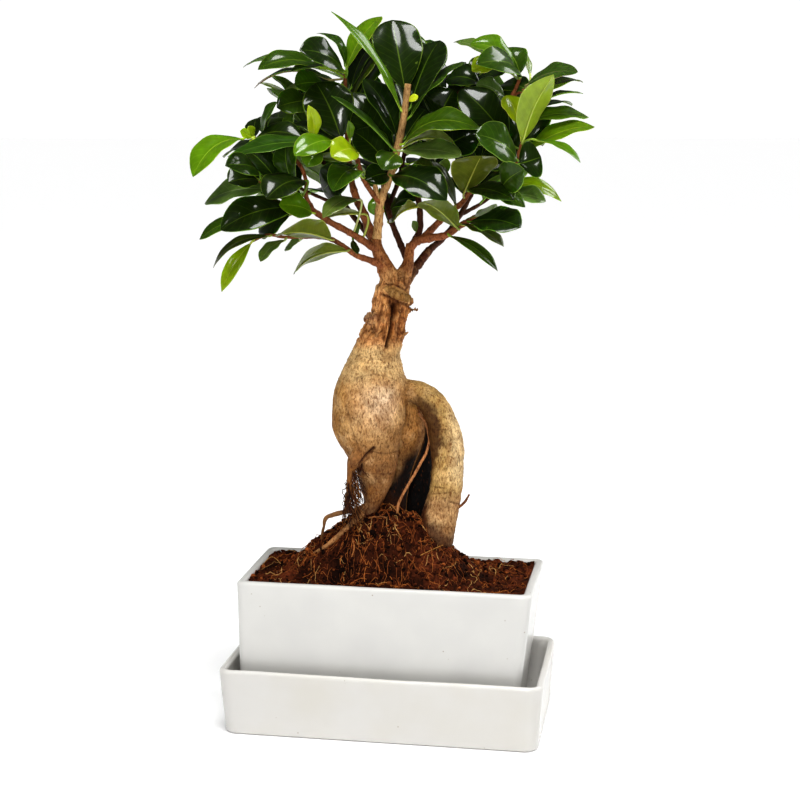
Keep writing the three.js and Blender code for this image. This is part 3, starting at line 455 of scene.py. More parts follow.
@dataclass(frozen=True)
class FicusBark(Finish):
    """The thin living bark of a ficus root: a smooth skin with corky specks and fine lengthwise grain.

    Its colour comes painted on the points as tint, painted highlights and painted shade included. Mottling,
    pale cork and dark pores break it up, and the pits are darker, so that it looks grown and handled instead
    of painted.
    """

    name: str = "ficus_bark"
    mottle: float = 7.0  # mm
    grain: float = 0.9  # mm across the grain, drawn a little coarse so that it shows
    pore: float = 2.1  # mm between pores
    stretch: float = 0.45  # the grain's scale along the trunk, as a share of that across it
    furrow: float = 0.45  # mm deep
    pit_dark: str = "#3a1a0a"
    speck: str = "#6b3a14"
    cork: str = "#c08a54"  # what the skin's colour is multiplied by in a fleck

    def surface(self, tree: NodeTree) -> Node:
        """Makes the painted skin with its grain, cork flecks, pores and darker pits."""
        place = add_node(tree, "TexCoord").outputs["Object"]
        tint = add_node(tree, "Attribute", attribute_name="tint")
        relief = add_node(tree, "Attribute", attribute_name="relief").outputs["Vector"]
        pit = add_node(tree, "SeparateXYZ", [relief])
        mottle = add_node(tree, "TexNoise", {"Vector": place, "Scale": per_mm(self.mottle), "Detail": 6.0})
        lengthwise = add_node(tree, "Mapping", {"Vector": place, "Scale": (1.0, 1.0, self.stretch)})
        fibre = {"Scale": per_mm(self.grain), "Detail": 6.0, "Roughness": 0.65, "Distortion": 0.6}
        grain = add_node(tree, "TexNoise", {"Vector": lengthwise, **fibre})
        light = add_node(tree, "MapRange", [mottle, 0.32, 0.68, 0.78, 1.2])
        streak = add_node(tree, "MapRange", [grain, 0.34, 0.66, 0.62, 1.34])
        level = add_node(tree, "Math", [light, streak], operation="MULTIPLY")
        lit = add_node(tree, "VectorMath", [tint, level], operation="SCALE")
        # Flecks of rust-brown cork lie in the grain's hollows.
        fleck = add_node(tree, "MapRange", [grain, 0.37, 0.47, 0.62, 0.0])
        corky = add_node(tree, "VectorMath", [lit, linear(self.cork)[:3]], operation="MULTIPLY")
        skin = add_node(tree, "Mix", [fleck, lit, corky], data_type="RGBA")
        # The pores lie in groups.
        pores = add_node(tree, "TexVoronoi", {"Vector": lengthwise, "Scale": per_mm(self.pore)})
        dark = add_node(tree, "MapRange", [pores, 0.1, 0.24, 0.8, 0.0])
        grouped = add_node(tree, "MapRange", [mottle, 0.44, 0.6, 1.0, 0.0])
        pore = add_node(tree, "Math", [dark, grouped], operation="MULTIPLY")
        specked = add_node(tree, "Mix", [pore, skin, linear(self.speck)], data_type="RGBA")
        colour = add_node(tree, "Mix", [pit, specked, linear(self.pit_dark)], data_type="RGBA")
        height = add_node(tree, "Math", [grain, pore], operation="SUBTRACT")
        bump = add_node(tree, "Bump", {"Height": height, "Strength": 0.7, "Distance": self.furrow * MM})
        shader = {"Base Color": colour, "Roughness": 0.62, "IOR": 1.42, "Specular IOR Level": 0.22}
        return add_node(tree, "BsdfPrincipled", {**shader, "Normal": bump})


@dataclass(frozen=True)
class LeafSkin(Finish):
    """A grown ficus leaf: a leathery blade under a clear wax, paler and duller below.

    Each leaf's colours come painted on its points: tint for the blade and rib for its midrib and margin.
    Light shines through the thin blade a little, and the wax gives hard, bright reflections.
    """

    name: str = "ficus_leaf"
    vein_pairs: float = 9.0
    vein_slant: float = 0.22  # how much further along a vein ends at the margin, as a share of the blade
    vein_rise: float = 0.15  # mm
    mottle: float = 6.0  # mm

    def surface(self, tree: NodeTree) -> Node:
        """Makes the waxy blade with its midrib, side veins and margin."""
        soft = {"interpolation_type": "SMOOTHSTEP"}
        place = add_node(tree, "TexCoord").outputs["Object"]
        tint = add_node(tree, "Attribute", attribute_name="tint")
        rib = add_node(tree, "Attribute", attribute_name="rib")
        on_leaf = add_node(tree, "Attribute", attribute_name="leaf_place").outputs["Vector"]
        side, share, underside = add_node(tree, "SeparateXYZ", [on_leaf]).outputs
        aside = add_node(tree, "Math", [side], operation="ABSOLUTE")
        margin = add_node(tree, "MapRange", [aside, 0.93, 0.99, 0.0, 0.85], **soft)
        # The midrib narrows from the foot to the tip.
        narrowed = add_node(tree, "Math", [share, 0.035, aside], operation="MULTIPLY_ADD")
        midrib = add_node(tree, "MapRange", [narrowed, 0.028, 0.06, 0.5, 0.0], **soft)
        # Side veins leave the midrib slanting towards the tip.
        slanted = add_node(tree, "Math", [aside, -self.vein_slant, share], operation="MULTIPLY_ADD")
        turn = add_node(tree, "Math", [slanted, self.vein_pairs * math.tau], operation="MULTIPLY")
        wave = add_node(tree, "Math", [turn], operation="COSINE")
        veins = add_node(tree, "MapRange", [wave, 0.86, 1.0, 0.0, 0.07], **soft)
        lines = add_node(tree, "Math", [midrib, margin], operation="MAXIMUM")
        lines = add_node(tree, "Math", [lines, veins], operation="MAXIMUM")
        mottle = add_node(tree, "TexNoise", {"Vector": place, "Scale": per_mm(self.mottle), "Detail": 3.0})
        level = add_node(tree, "MapRange", [mottle, 0.3, 0.7, 0.82, 1.2])
        blade = add_node(tree, "VectorMath", [tint, level], operation="SCALE")
        colour = add_node(tree, "Mix", [lines, blade, rib], data_type="RGBA")
        gloss = add_node(tree, "MapRange", [underside, 0.0, 1.0, 0.36, 0.55])
        bump = add_node(tree, "Bump", {"Height": lines, "Strength": 0.3, "Distance": self.vein_rise * MM})
        glow = {"Subsurface Weight": 0.3, "Subsurface Radius": (0.5, 1.0, 0.15), "Subsurface Scale": 0.8 * MM}
        wax = {"Coat Weight": 0.5, "Coat Roughness": 0.11, "IOR": 1.4, "Specular IOR Level": 0.07}
        shader = {"Base Color": colour, "Roughness": gloss, "Normal": bump, **glow, **wax}
        return add_node(tree, "BsdfPrincipled", shader)


@dataclass(frozen=True)
class LooseOrganic(Finish):
    """Peat, bark crumbs and fibrous roots: matt, soaking up light, each scrap with a tint of its own."""

    name: str
    spread: float = 1.6  # mm between darker and lighter scraps
    relief: float = 0.5  # mm

    def surface(self, tree: NodeTree) -> Node:
        """Makes the matt, broken surface."""
        place = add_node(tree, "TexCoord").outputs["Object"]
        tint = add_node(tree, "Attribute", attribute_name="tint")
        scraps = add_node(tree, "TexNoise", {"Vector": place, "Scale": per_mm(self.spread), "Detail": 5.0})
        level = add_node(tree, "MapRange", [scraps, 0.3, 0.7, 0.45, 1.7])
        colour = add_node(tree, "VectorMath", [tint, level], operation="SCALE")
        bump = add_node(tree, "Bump", {"Height": scraps, "Strength": 0.8, "Distance": self.relief * MM})
        shader = {"Base Color": colour, "Roughness": 0.92, "IOR": 1.35, "Specular IOR Level": 0.15}
        return add_node(tree, "BsdfPrincipled", {**shader, "Normal": bump})


@dataclass(frozen=True)
class StudioPaper(Finish):
    """Matt white background film on a glowing table, which keeps it near white all over."""

    name: str = "studio_paper"
    colour: str = "#f0f0f0"
    glow: float = 0.1

    def surface(self, tree: NodeTree) -> Node:
        """Makes the faintly glowing film."""
        white = linear(self.colour)
        shader = {"Base Color": white, "Roughness": 0.9, "Emission Color": white}
        return add_node(tree, "BsdfPrincipled", {**shader, "Emission Strength": self.glow})


# ------------------------------------------------------------------ pot and saucer


@dataclass
class GlazedTray:
    """A rectangular tray with sloping walls and soft glazed rims: what the pot and the saucer share."""

    node: str
    slot: str
    finish: GlazedEarthenware
    wall: float
    floor: float
    corner: float
    slope_rise: float  # how far each wall leans out, in mm for each mm of height
    middle_at_rim: float = 0.0
    middle_at_foot: float = 0.0
    rim_round: float = 2.0
    edge_round: float = 1.2
    warp: float = 0.45  # mm that the slip-cast walls have moved in the kiln
    least_corner: float = 1.6
    arc_steps: int = 7
    wall_steps: int = 14
    corner_steps: int = 8
    long_steps: int = 30
    short_steps: int = 14

    def __post_init__(self) -> None:
        """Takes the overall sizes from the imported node."""
        low, high = (np.array(corner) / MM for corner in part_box(self.node))
        self.low, self.rim = low[2], high[2]
        self.lean = (self.middle_at_rim - self.middle_at_foot) / (self.rim - self.low)
        self.depth = high[1] - low[1]
        self.width = 2 * (high[0] - self.middle_at_rim)
        self.inner_corner = max(self.corner - self.wall / 2, self.least_corner)

    def outline(self, width: float, depth: float, corner: float) -> Array:
        """Runs counterclockwise round a rounded rectangle, always with the same number of points."""
        half_x, half_y = width / 2 - corner, depth / 2 - corner
        signs = ((1, 1), (-1, 1), (-1, -1), (1, -1))
        points = []
        for quarter, (sign_x, sign_y) in enumerate(signs):
            turns = math.pi / 2 * (quarter + np.linspace(0, 1, self.corner_steps + 1))
            centre = np.array([sign_x * half_x, sign_y * half_y])
            points.append(centre + corner * np.stack([np.cos(turns), np.sin(turns)], axis=-1))
            after = signs[(quarter + 1) % 4]
            along_x = quarter % 2 == 0
            steps = self.long_steps if along_x else self.short_steps
            share = np.linspace(0, 1, steps + 1)[1:-1, None]
            target = np.array([after[0] * half_x, after[1] * half_y])
            outward = corner * np.array([math.cos(turns[-1]), math.sin(turns[-1])])
            points.append(centre + outward + share * (target - centre))
        return np.concatenate(points)

    def ring(self, z: float, offset: float, corner: float) -> Array:
        """Returns the outline at height z, offset mm outside the tray's outer wall there."""
        drop = 2 * self.slope_rise * (self.rim - z)
        flat = self.outline(self.width - drop + 2 * offset, self.depth - drop + 2 * offset, corner)
        return self.lifted(flat, z)

    def lifted(self, flat: Array, z: float) -> Array:
        """Puts a flat outline at height z, over the tray's middle there."""
        middle = self.middle_at_rim - self.lean * (self.rim - z)
        return np.column_stack([flat[:, 0] + middle, flat[:, 1], np.full(len(flat), z)])

    def arc(self, z: float, offset: float, radius: float, start: float, end: float) -> list[Array]:
        """Returns rings round an edge.

        Args:
            z: the height of the arc's centre.
            offset: how far the centre lies outside the outer wall.
            radius: the arc's radius.
            start: the first direction in degrees, 0 outwards and 90 up.
            end: the last direction.
        """
        rings = []
        for turn in np.radians(np.linspace(start, end, self.arc_steps)):
            reach = offset + radius * math.cos(turn)
            inner = offset < -self.wall / 2
            corner = self.inner_corner + self.wall if inner else self.corner
            rings.append(self.ring(z + radius * math.sin(turn), reach, max(corner + reach, 0.5)))
        return rings

    def wall_rings(self, bottom: float, top: float, offset: float, corner: float) -> list[Array]:
        """Returns rings up a wall, without its ends."""
        heights = np.linspace(bottom, top, self.wall_steps + 2)[1:-1]
        return [self.ring(z, offset, corner) for z in heights]

    def shell(self) -> list[Array]:
        """Returns the rings from the outer lower edge, over the rim and down to the inner floor."""
        soft, edge, wall = self.rim_round, self.edge_round, self.wall
        top, floor = self.rim - soft, self.low + self.floor
        corner = self.inner_corner
        return [
            *self.arc(self.low + edge, -edge, edge, -90, 0),
            *self.wall_rings(self.low + edge, top, 0.0, self.corner),
            *self.arc(top, -soft, soft, 0, 90),
            *self.arc(top, -wall + soft, soft, 90, 180),
            *self.wall_rings(floor + edge, top, -wall, corner)[::-1],
            self.ring(floor + edge, -wall, corner),
            self.ring(floor + edge / 3, -wall - edge / 3, corner - edge / 3),
            self.ring(floor, -wall - edge, corner - edge / 2),
        ]

    def kiln_warp(self, points: Array) -> Array:
        """Returns the points moved as thin walls move in the firing, and the foot left flat."""
        share = smooth_step(self.low + 1.0, self.low + 25.0, points[:, 2])
        moves = self.warp * rough_moves(points, 70.0, (1.0, 2.0, 3.0)) * (1.0, 1.0, 0.6)
        return points + moves * share[:, None]

    def sew(self, rings: list[Array], is_loop: bool) -> Object:
        """Makes the piece from rings that close on themselves, or that have a flat cap at both ends."""
        count = len(rings[0])
        faces = tube_faces(len(rings), count)
        if is_loop:
            seam = np.array([faces[-1], faces[-2][::-1]])
            faces = faces[:-2] + grid_faces(np.column_stack([seam, seam[:, 0]]).T)
        patch = Patchwork()
        patch.add(self.kiln_warp(np.concatenate(rings)), faces)
        piece = patch.piece(self.node + "_glazed", self.finish.build())
        settle(piece, self.slot, self.node)
        return piece


@dataclass
class Saucer(GlazedTray):
    """The deep drip tray that the pot stands in."""

    node: str = "saucer"
    slot: str = "cream_glaze"
    finish: GlazedEarthenware = GlazedEarthenware("cream_glaze", "#cbc9c5", "#c8c5be")
    wall: float = 4.0
    floor: float = 4.5
    corner: float = 7.5
    slope_rise: float = 2.6 / 36.1

    def build(self) -> None:
        """Closes the shell with a flat underside and a flat floor."""
        shell = self.shell()
        under = [self.lifted(shell[0][:, :2] * share, self.low) for share in (0.03, 0.5, 0.96)]
        floor = [self.lifted(shell[-1][:, :2] * share, self.low + self.floor) for share in (0.96, 0.5, 0.03)]
        self.sew([*under, *shell, *floor], is_loop=False)


@dataclass
class Pot(GlazedTray):
    """The planted pot, with a drain hole and a plain raised foot ring."""

    node: str = "pot"
    slot: str = "white_glaze"
    finish: GlazedEarthenware = GlazedEarthenware("white_glaze", "#cdccc8", "#c7c6c3")
    wall: float = 4.8
    floor: float = 5.5
    corner: float = 4.5
    slope_rise: float = math.tan(math.radians(3.3))
    middle_at_rim: float = 1.2
    middle_at_foot: float = -2.9
    drain_radius: float = 6.0
    foot_height: float = 1.2
    foot_width: float = 7.0

    def inner_half(self) -> Span:
        """Returns the half width and half depth inside the rim."""
        return self.width / 2 - self.wall, self.depth / 2 - self.wall

    def build(self) -> None:
        """Closes the shell through the drain hole and the recess under the floor."""
        shell = self.shell()
        flat = shell[-1][:, :2] - [self.middle_at_foot, 0.0]
        hole = self.drain_radius * unit(flat)
        top, recess_z = self.low + self.floor, self.low + self.foot_height
        inner_floor = [self.lifted(flat + share * (hole - flat), top) for share in (0.3, 0.6, 0.9, 0.98)]
        foot = self.ring(self.low, -self.foot_width, self.corner)[:, :2] - [self.middle_at_foot, 0.0]
        under = [self.lifted(hole + share * (foot - hole), recess_z) for share in (0.03, 0.5, 0.97, 1.0)]
        rings = [*shell, *inner_floor, self.lifted(hole, top - 0.4), self.lifted(hole, recess_z + 0.4)]
        rings += [*under, self.lifted(foot, self.low + 0.3), self.lifted(foot, self.low)]
        self.sew(rings, is_loop=True)


# ------------------------------------------------------------------ soil


class SoilTint(Enum):
    """What the soil's scraps are, with the colour of each when damp."""

    PEAT = "#170803"
    HUMUS = "#2c1107"
    BARK_CRUMB = "#4c2412"
    COIR = "#75401f"
    FIBRE = "#93592c"
    PALE_FIBRE = "#b08a56"
    PUMICE = "#a8967c"


@dataclass
class SoilHeap:
    """The soil in the pot: heaped round the roots, crumbly, and felted with fine fibres."""

    pot: Pot
    level: float = 82.5
    # height above the level, centre x and y, reach along x and y
    heaps: Rows = (
        (32, -8, -5, 21, 20), (23, 17, -3, 18, 19), (16.5, -35, -4, 20, 20), (6, 35, 4, 14, 24),
    )  # fmt: skip
    # how far inside the walls the heaps are whole, and where they would end, past the walls' inner face
    shoulder: Span = (12.0, -4.0)
    gap: float = 0.2
    columns: int = 250
    rows: int = 108
    crumbs: int = 2600
    fibres: int = 780
    seed: int = 7
    finish: LooseOrganic = LooseOrganic("potting_soil")

    def __post_init__(self) -> None:
        """Works out the surface on a grid inside the pot."""
        self.half = half_x, half_y = tuple(half - self.gap for half in self.pot.inner_half())
        self.grid_x = np.linspace(-half_x, half_x, self.columns) + self.pot.middle_at_rim
        self.grid_y = np.linspace(-half_y, half_y, self.rows)
        x, y = np.meshgrid(self.grid_x, self.grid_y, indexing="ij")
        self.heights = self.base_height(x, y) + self.crumble(x, y)

    def base_height(self, x: Array, y: Array) -> Array:
        """Returns the heaps' height without their roughness."""
        heaped = sum(rise * hill(x, y, *bell) for rise, *bell in self.heaps)
        half_x, half_y = self.pot.inner_half()
        to_wall = np.minimum(half_x - np.abs(x - self.pot.middle_at_rim), half_y - np.abs(y))
        whole, end = self.shoulder
        return self.level + heaped * smooth_step(end, whole, to_wall)

    def crumble(self, x: Array, y: Array) -> Array:
        """Returns clods, crumbs and grit to add to the height."""
        flat = np.stack([x.ravel(), y.ravel(), self.base_height(x, y).ravel()], axis=-1)
        clods = rough(flat, 9.0, 3, 1.0)
        grit = rough(flat, 2.4, 3, 2.0)
        cells = np.array([noise.voronoi(Vector(place / 3.6))[0][0] for place in flat])
        return (1.9 * clods + 0.9 * grit + 1.6 * (0.45 - cells)).reshape(np.shape(x))

    def height_at(self, x: Array, y: Array) -> Array:
        """Reads the finished surface's height at places inside the pot."""
        column, row = (
            np.clip((place - line[0]) / (line[1] - line[0]), 0, len(line) - 1.001)
            for place, line in ((x, self.grid_x), (y, self.grid_y))
        )
        i, j = column.astype(int), row.astype(int)
        u, v = column - i, row - j
        grid = self.heights
        low = grid[i, j] * (1 - v) + grid[i, j + 1] * v
        high = grid[i + 1, j] * (1 - v) + grid[i + 1, j + 1] * v
        return low * (1 - u) + high * u

    def painted_light_level(self, x: Array, y: Array) -> Array:
        """Returns how much lighter the soil is painted there: painted light on both ends and on the mound's
        top.
        """
        raised = self.base_height(x, y) - self.level
        ends = smooth_step(18.0, 42.0, np.abs(np.asarray(x) + 8.0))
        return 0.58 + 0.24 * smooth_step(5.0, 20.0, raised) + 0.75 * ends

    def under(self, x: float, y: float, lift: float) -> Array:
        """Finds where the ray of a pixel meets the soil, and returns that place raised by lift."""
        for depth in np.arange(45.0, -40.0, -0.4):
            place = VIEW.seen(np.array([x, y, depth]))
            if place[2] < self.height_at(place[0], place[1]):
                break
        return place + np.array([0.0, 0.0, lift])

    def build(self) -> None:
        """Makes the heap, its loose crumbs and its fibres."""
        material = self.finish.build()
        self.make_heap(material)
        self.make_crumbs(material)
        self.make_fibres(material)

    def make_heap(self, material: Material) -> None:
        """Makes the closed body of soil down to the pot's floor."""
        x, y = np.meshgrid(self.grid_x, self.grid_y, indexing="ij")
        top = np.stack([x.ravel(), y.ravel(), self.heights.ravel()], axis=-1)
        index = np.arange(len(top)).reshape(self.columns, self.rows)
        border = np.concatenate([index[:, 0], index[-1, 1:], index[-2::-1, -1], index[0, -2:0:-1]])
        foot = np.arange(len(top), len(top) + len(border))
        floor = self.pot.low + self.pot.floor + self.gap
        shrink = [1 - self.pot.slope_rise * (self.pot.rim - floor) / half for half in self.half]
        flat = (top[border, :2] - [self.pot.middle_at_rim, 0.0]) * shrink + [self.pot.middle_at_foot, 0.0]
        points = np.concatenate([top, np.column_stack([flat, np.full(len(flat), floor)])])
        walls = np.stack([border, foot, np.roll(foot, -1), np.roll(border, -1)], axis=-1)
        faces = [*grid_faces(index), *walls.tolist(), foot[::-1].tolist()]
        shade = smooth_step(-0.8, 1.0, rough(points, 12.0, 3, 4.0))[:, None]
        dark, light = linear(SoilTint.PEAT.value), linear(SoilTint.BARK_CRUMB.value)
        patch = Patchwork()
        light_paint = self.painted_light_level(points[:, 0], points[:, 1])[:, None]
        patch.add(points, faces, tint=(dark + shade * (light - dark)) * light_paint)
        settle(patch.piece("soil_heap", material), "soil", "soil")

    def make_crumbs(self, material: Material) -> None:
        """Scatters angular crumbs over the surface, thicker on the mound."""
        chance = np.random.default_rng(self.seed)
        ball = blob_points()
        tints = [SoilTint.PEAT, SoilTint.HUMUS, SoilTint.BARK_CRUMB, SoilTint.COIR, SoilTint.PUMICE]
        weights = [0.33, 0.3, 0.22, 0.145, 0.005]
        patch = Patchwork()
        for _ in range(self.crumbs):
            x, y = self.random_place(chance)
            size = 0.3 + 1.0 * chance.random() ** 3
            stretch = size * (0.4 + 1.2 * chance.random(3))
            lumps = 1 + 0.5 * (chance.random((len(ball[0]), 1)) - 0.5)
            turned = ball[0] * stretch * lumps @ np.array(random_turn(chance))
            tint = linear(chance.choice(tints, p=weights).value) * self.painted_light_level(x, y)
            centre = np.array([x, y, self.height_at(x, y) + 0.35 * size])
            patch.add(turned + centre, ball[1], tint=tint)
        settle(patch.piece("soil_crumbs", material), "soil", "soil")

    def random_place(self, chance: Generator) -> Span:
        """Draws a place inside the pot, often on the mound."""
        reach_x, reach_y = self.half[0] - 1.5, self.half[1] - 1.5
        if chance.random() < 0.5:
            x, y = chance.normal(-4, 26), chance.normal(-8, 14)
        else:
            x, y = chance.uniform(-reach_x, reach_x), chance.uniform(-reach_y, reach_y)
        middle = self.pot.middle_at_rim
        return np.clip(x, middle - reach_x, middle + reach_x), np.clip(y, -reach_y, reach_y)

    def make_fibres(self, material: Material) -> None:
        """Lays wandering root fibres on the surface, each dipping into it and looping out of it."""
        chance = np.random.default_rng(self.seed + 1)
        tints = [SoilTint.COIR, SoilTint.FIBRE, SoilTint.PALE_FIBRE, SoilTint.BARK_CRUMB]
        weights = [0.42, 0.3, 0.1, 0.18]
        patch = Patchwork()
        for _ in range(self.fibres):
            steps = int(chance.integers(7, 20))
            turns = chance.uniform(0, math.tau) + np.cumsum(chance.normal(0, 0.42, steps))
            moves = np.stack([np.cos(turns), np.sin(turns)], axis=-1) * chance.uniform(0.8, 1.6)
            path = np.array(self.random_place(chance)) + np.cumsum(moves, axis=0)
            reach = np.array(self.half) - 0.8
            path = np.clip(path - [self.pot.middle_at_rim, 0], -reach, reach) + [self.pot.middle_at_rim, 0]
            lift = chance.uniform(-0.2, 1.9) * np.sin(np.linspace(0, math.pi * chance.integers(1, 4), steps))
            z = self.height_at(path[:, 0], path[:, 1]) + lift
            radii = chance.uniform(0.1, 0.27) * np.linspace(1.0, 0.45, steps)
            tint = linear(chance.choice(tints, p=weights).value)
            patch.add(*swept(np.column_stack([path, z]), radii, radii, 5), tint=tint)
        settle(patch.piece("soil_fibres", material), "soil", "soil")


def blob_points() -> tuple[Array, Faces]:
    """Returns the points and faces of a ball of twenty triangles with a radius of one."""
    ratio = (1 + math.sqrt(5)) / 2
    corners = []
    for first in (-1, 1):
        for second in (-ratio, ratio):
            corners += [(0, first, second), (first, second, 0), (second, 0, first)]
    points = unit(np.array(corners, float))
    faces = []
    for a in range(12):
        for b in range(a + 1, 12):
            for c in range(b + 1, 12):
                gaps = [np.linalg.norm(points[i] - points[j]) for i, j in ((a, b), (b, c), (a, c))]
                if max(gaps) < 1.1:
                    outward = np.cross(points[b] - points[a], points[c] - points[a]) @ points[a] > 0
                    faces.append([a, b, c] if outward else [a, c, b])
    return points, faces


def random_turn(chance: Generator) -> Matrix:
    """Draws a rotation."""
    axis = Vector(chance.normal(size=3)).normalized()
    return Matrix.Rotation(chance.uniform(0, math.tau), 3, axis)


# ------------------------------------------------------------------ trunk and bare roots


@dataclass(frozen=True)
class Limb:
    """A length of wood through stations of pixel x, pixel y, depth, half width and half depth in mm."""

    tint: str
    stations: Rows

    def rows(self, per_span: int) -> Array:
        """Returns smooth rows of pixel x, pixel y, depth, half width and half depth."""
        full = [row if len(row) == 5 else (*row, row[3]) for row in self.stations]
        return smooth_rows(full, per_span)

    def swept(self, per_span: int = 6, sides: int = 28) -> tuple[Array, Faces]:
        """Returns the limb's points and faces."""
        rows = self.rows(per_span)
        return swept(VIEW.seen(rows[:, :3]), rows[:, 3], rows[:, 4], sides)


@dataclass(frozen=True)
class Stroke:
    """A groove or a ridge that runs along a line of pixels on the side of the wood that faces the eye."""

    half_width: float  # mm
    rise: float  # mm, under zero for a groove
    line: tuple[Span, ...]
    pit_dark: float = 0.0  # how dark it is inside, 0 to 1
    least_depth: float = -8.0  # wood that lies further back isn't marked


@dataclass(frozen=True)
class Wash:
    """A colour laid over the bark, which comes in between two pixels x, two pixels y or both."""

    tint: str
    strength: float
    x_span: Span = (-1, 0)  # left as it is, the colour is in over the whole picture
    y_span: Span = (-1, 0)

    def reach(self, x: Array, y: Array) -> Array:
        """Returns how strong the colour is at each place."""
        return self.strength * smooth_step(*self.x_span, x) * smooth_step(*self.y_span, y)


@dataclass
class Trunk:
    """The swollen root trunk on its stilt roots, up to the forks of the limbs."""

    limbs: dict[str, Limb]
    strokes: tuple[Stroke, ...]
    root_washes: tuple[Wash, ...]
    arch_washes: tuple[Wash, ...]
    # painted highlights on the bulge, a broad pale one and a small bright one: pixel x and y, reach along x
    # and y, strength and tint
    painted_highlights: tuple[tuple, ...] = ((376, 404, 24, 28, 1.1, "#c4a078"), (385, 402, 11, 17, 0.5, "#f0d8b8"))
    # where in pixels y something of the trunk begins or ends
    paint_top: Span = (262, 285)
    relief_top: Span = (262, 280)
    neck_paint: Span = (352, 336)
    neck_relief: Span = (352, 330)
    wrinkles_begin: Span = (326, 340)
    wrinkles_end: Span = (396, 366)
    specks_begin: float = 345
    # the painted shade in the hollow between the roots comes in between these pixels y
    hollow: Span = (428, 466)
    voxel: float = 0.5
    finish: FicusBark = FicusBark()
    # pixel x and y, half length and half width in pixels, tilt in degrees
    scar: tuple[float, ...] = (398.5, 294.0, 14.5, 5.0, 24.0)
    scar_rise: float = 0.9
    # painted shadow that the bulge casts: the arching root is painted dark on the left of a line through
    # these pixels y and x
    arch_shadow_line: tuple[Span, ...] = (
        (385, 405), (400, 428), (412, 438), (437, 446), (455, 440), (470, 434), (488, 428),
    )  # fmt: skip

    def build(self, soil: SoilHeap) -> None:
        """Joins the limbs, carves the bark's relief and paints it."""
        patch = Patchwork()
        for limb in self.limbs.values():
            patch.add(*limb.swept())
        piece = patch.piece("trunk_bark", self.finish.build())
        reshaped(
            piece,
            REMESH={"mode": "VOXEL", "voxel_size": self.voxel * MM},
            SMOOTH={"factor": 0.5, "iterations": 9},
        )
        mesh = piece.data
        points, normals = per_point(mesh, "co") / MM, per_point(mesh, "normal")
        share = self.shares(points)
        rise, pit = self.relief(points, normals, share)
        move_points(mesh, points + normals * rise[:, None])
        set_mark(mesh, "tint", self.paint(points, normals, share, soil))
        set_mark(mesh, "relief", np.stack([pit, 0 * pit, 0 * pit], axis=-1))
        settle(piece, "bark", "trunk")

    def shares(self, points: Array) -> dict[str, Array]:
        """Returns how much each point belongs to each limb, adding up to one."""
        weights = {}
        for name, limb in self.limbs.items():
            rows = limb.rows(4)
            centres = VIEW.seen(rows[:, :3])
            nearest = np.full(len(points), np.inf)
            for centre, radius in zip(centres, rows[:, 3]):
                nearest = np.minimum(nearest, np.linalg.norm(points - centre, axis=1) / radius)
            weights[name] = np.exp(-9.0 * nearest)
        total = sum(weights.values())
        return {name: weight / total for name, weight in weights.items()}

    def relief(self, points: Array, normals: Array, share: dict[str, Array]) -> tuple[Array, Array]:
        """Returns how far each point of the bark rises, and how dark its pit is painted, 0 to 1."""
        place = VIEW.shown(points)
        height = place[:, 1]
        neck = smooth_step(*self.neck_relief, height) * smooth_step(*self.relief_top, height)
        wrinkled = smooth_step(*self.wrinkles_begin, height) * smooth_step(*self.wrinkles_end, height)
        rise = 0.55 * rough(points, 15.0, 2, 1.0) + 0.16 * rough(points, 2.6, 3, 2.0)
        furrows = rough(points, (1.8, 1.8, 12.0), 3, 3.0)
        plates = np.abs(rough(points, (3.4, 3.4, 17.0), 2, 4.0))
        torn = 0.9 * furrows - 1.5 * smooth_step(0.2, 0.0, plates) + 0.7 * rough(points, 6.0, 2, 9.0)
        rise += neck * torn
        creases = -np.abs(rough(points, (13.0, 13.0, 2.6), 3, 5.0))
        rise += wrinkled * (0.75 * creases + 0.3 * rough(points, (3.0, 3.0, 1.2), 2, 6.0))
        rings = -np.abs(rough(points, (16.0, 16.0, 3.4), 2, 7.0))
        rise += share["archRoot"] * 0.4 * rings
        specks = smooth_step(0.38, 0.6, rough(points, (0.9, 0.9, 2.2), 2, 8.0)) * (1 - neck)
        rise -= 0.22 * specks
        clefts = smooth_step(0.0, -0.6, furrows) * 0.5 + smooth_step(0.14, 0.0, plates) * 0.6
        pit = 0.55 * specks + neck * clefts
        pit += wrinkled * smooth_step(-0.06, 0.0, creases) * 0.35
        facing = smooth_step(0.05, 0.4, normals @ VIEW.to_eye)
        scar = self.scar_reach(place) * facing
        rise += self.scar_rise * scar
        pit = pit * (1 - 0.8 * scar)
        for stroke in self.strokes:
            gap = distance_to_line(place[:, :2], stroke.line) / VIEW.focal_pixels * self.eye_reach
            mark = np.exp(-((gap / stroke.half_width) ** 2)) * facing * (place[:, 2] > stroke.least_depth)
            rise += stroke.rise * mark
            pit = np.maximum(pit, stroke.pit_dark * mark)
        return rise, np.clip(pit, 0, 1)

    def scar_reach(self, place: Array) -> Array:
        """Returns 1 on the oval scar where the old top was cut off, and 0 away from it."""
        centre_x, centre_y, half_long, half_short, tilt = self.scar
        turn = math.radians(tilt)
        gap_x, gap_y = place[:, 0] - centre_x, place[:, 1] - centre_y
        along = (gap_x * math.cos(turn) + gap_y * math.sin(turn)) / half_long
        beside = (gap_y * math.cos(turn) - gap_x * math.sin(turn)) / half_short
        return smooth_step(1.15, 0.92, np.hypot(along, beside))

    @property
    def eye_reach(self) -> float:
        """How far the trunk stands from the eye, in mm along the picture's middle direction."""
        return -np.array(VIEW.eye) @ VIEW.ahead

    def paint(self, points: Array, normals: Array, share: dict[str, Array], soil: SoilHeap) -> Array:
        """Paints each limb's colour, with the red-brown neck, the pale bulge with its painted highlights and
        painted shade, painted shade on the arching root and in the hollow between the roots, and feet darker
        near the soil.
        """
        colour = sum(share[name][:, None] * linear(limb.tint) for name, limb in self.limbs.items())
        place = VIEW.shown(points)

        def wash(mask: Array, tint: str) -> None:
            nonlocal colour
            colour = colour + np.clip(mask, 0, 1)[:, None] * (linear(tint) - colour)

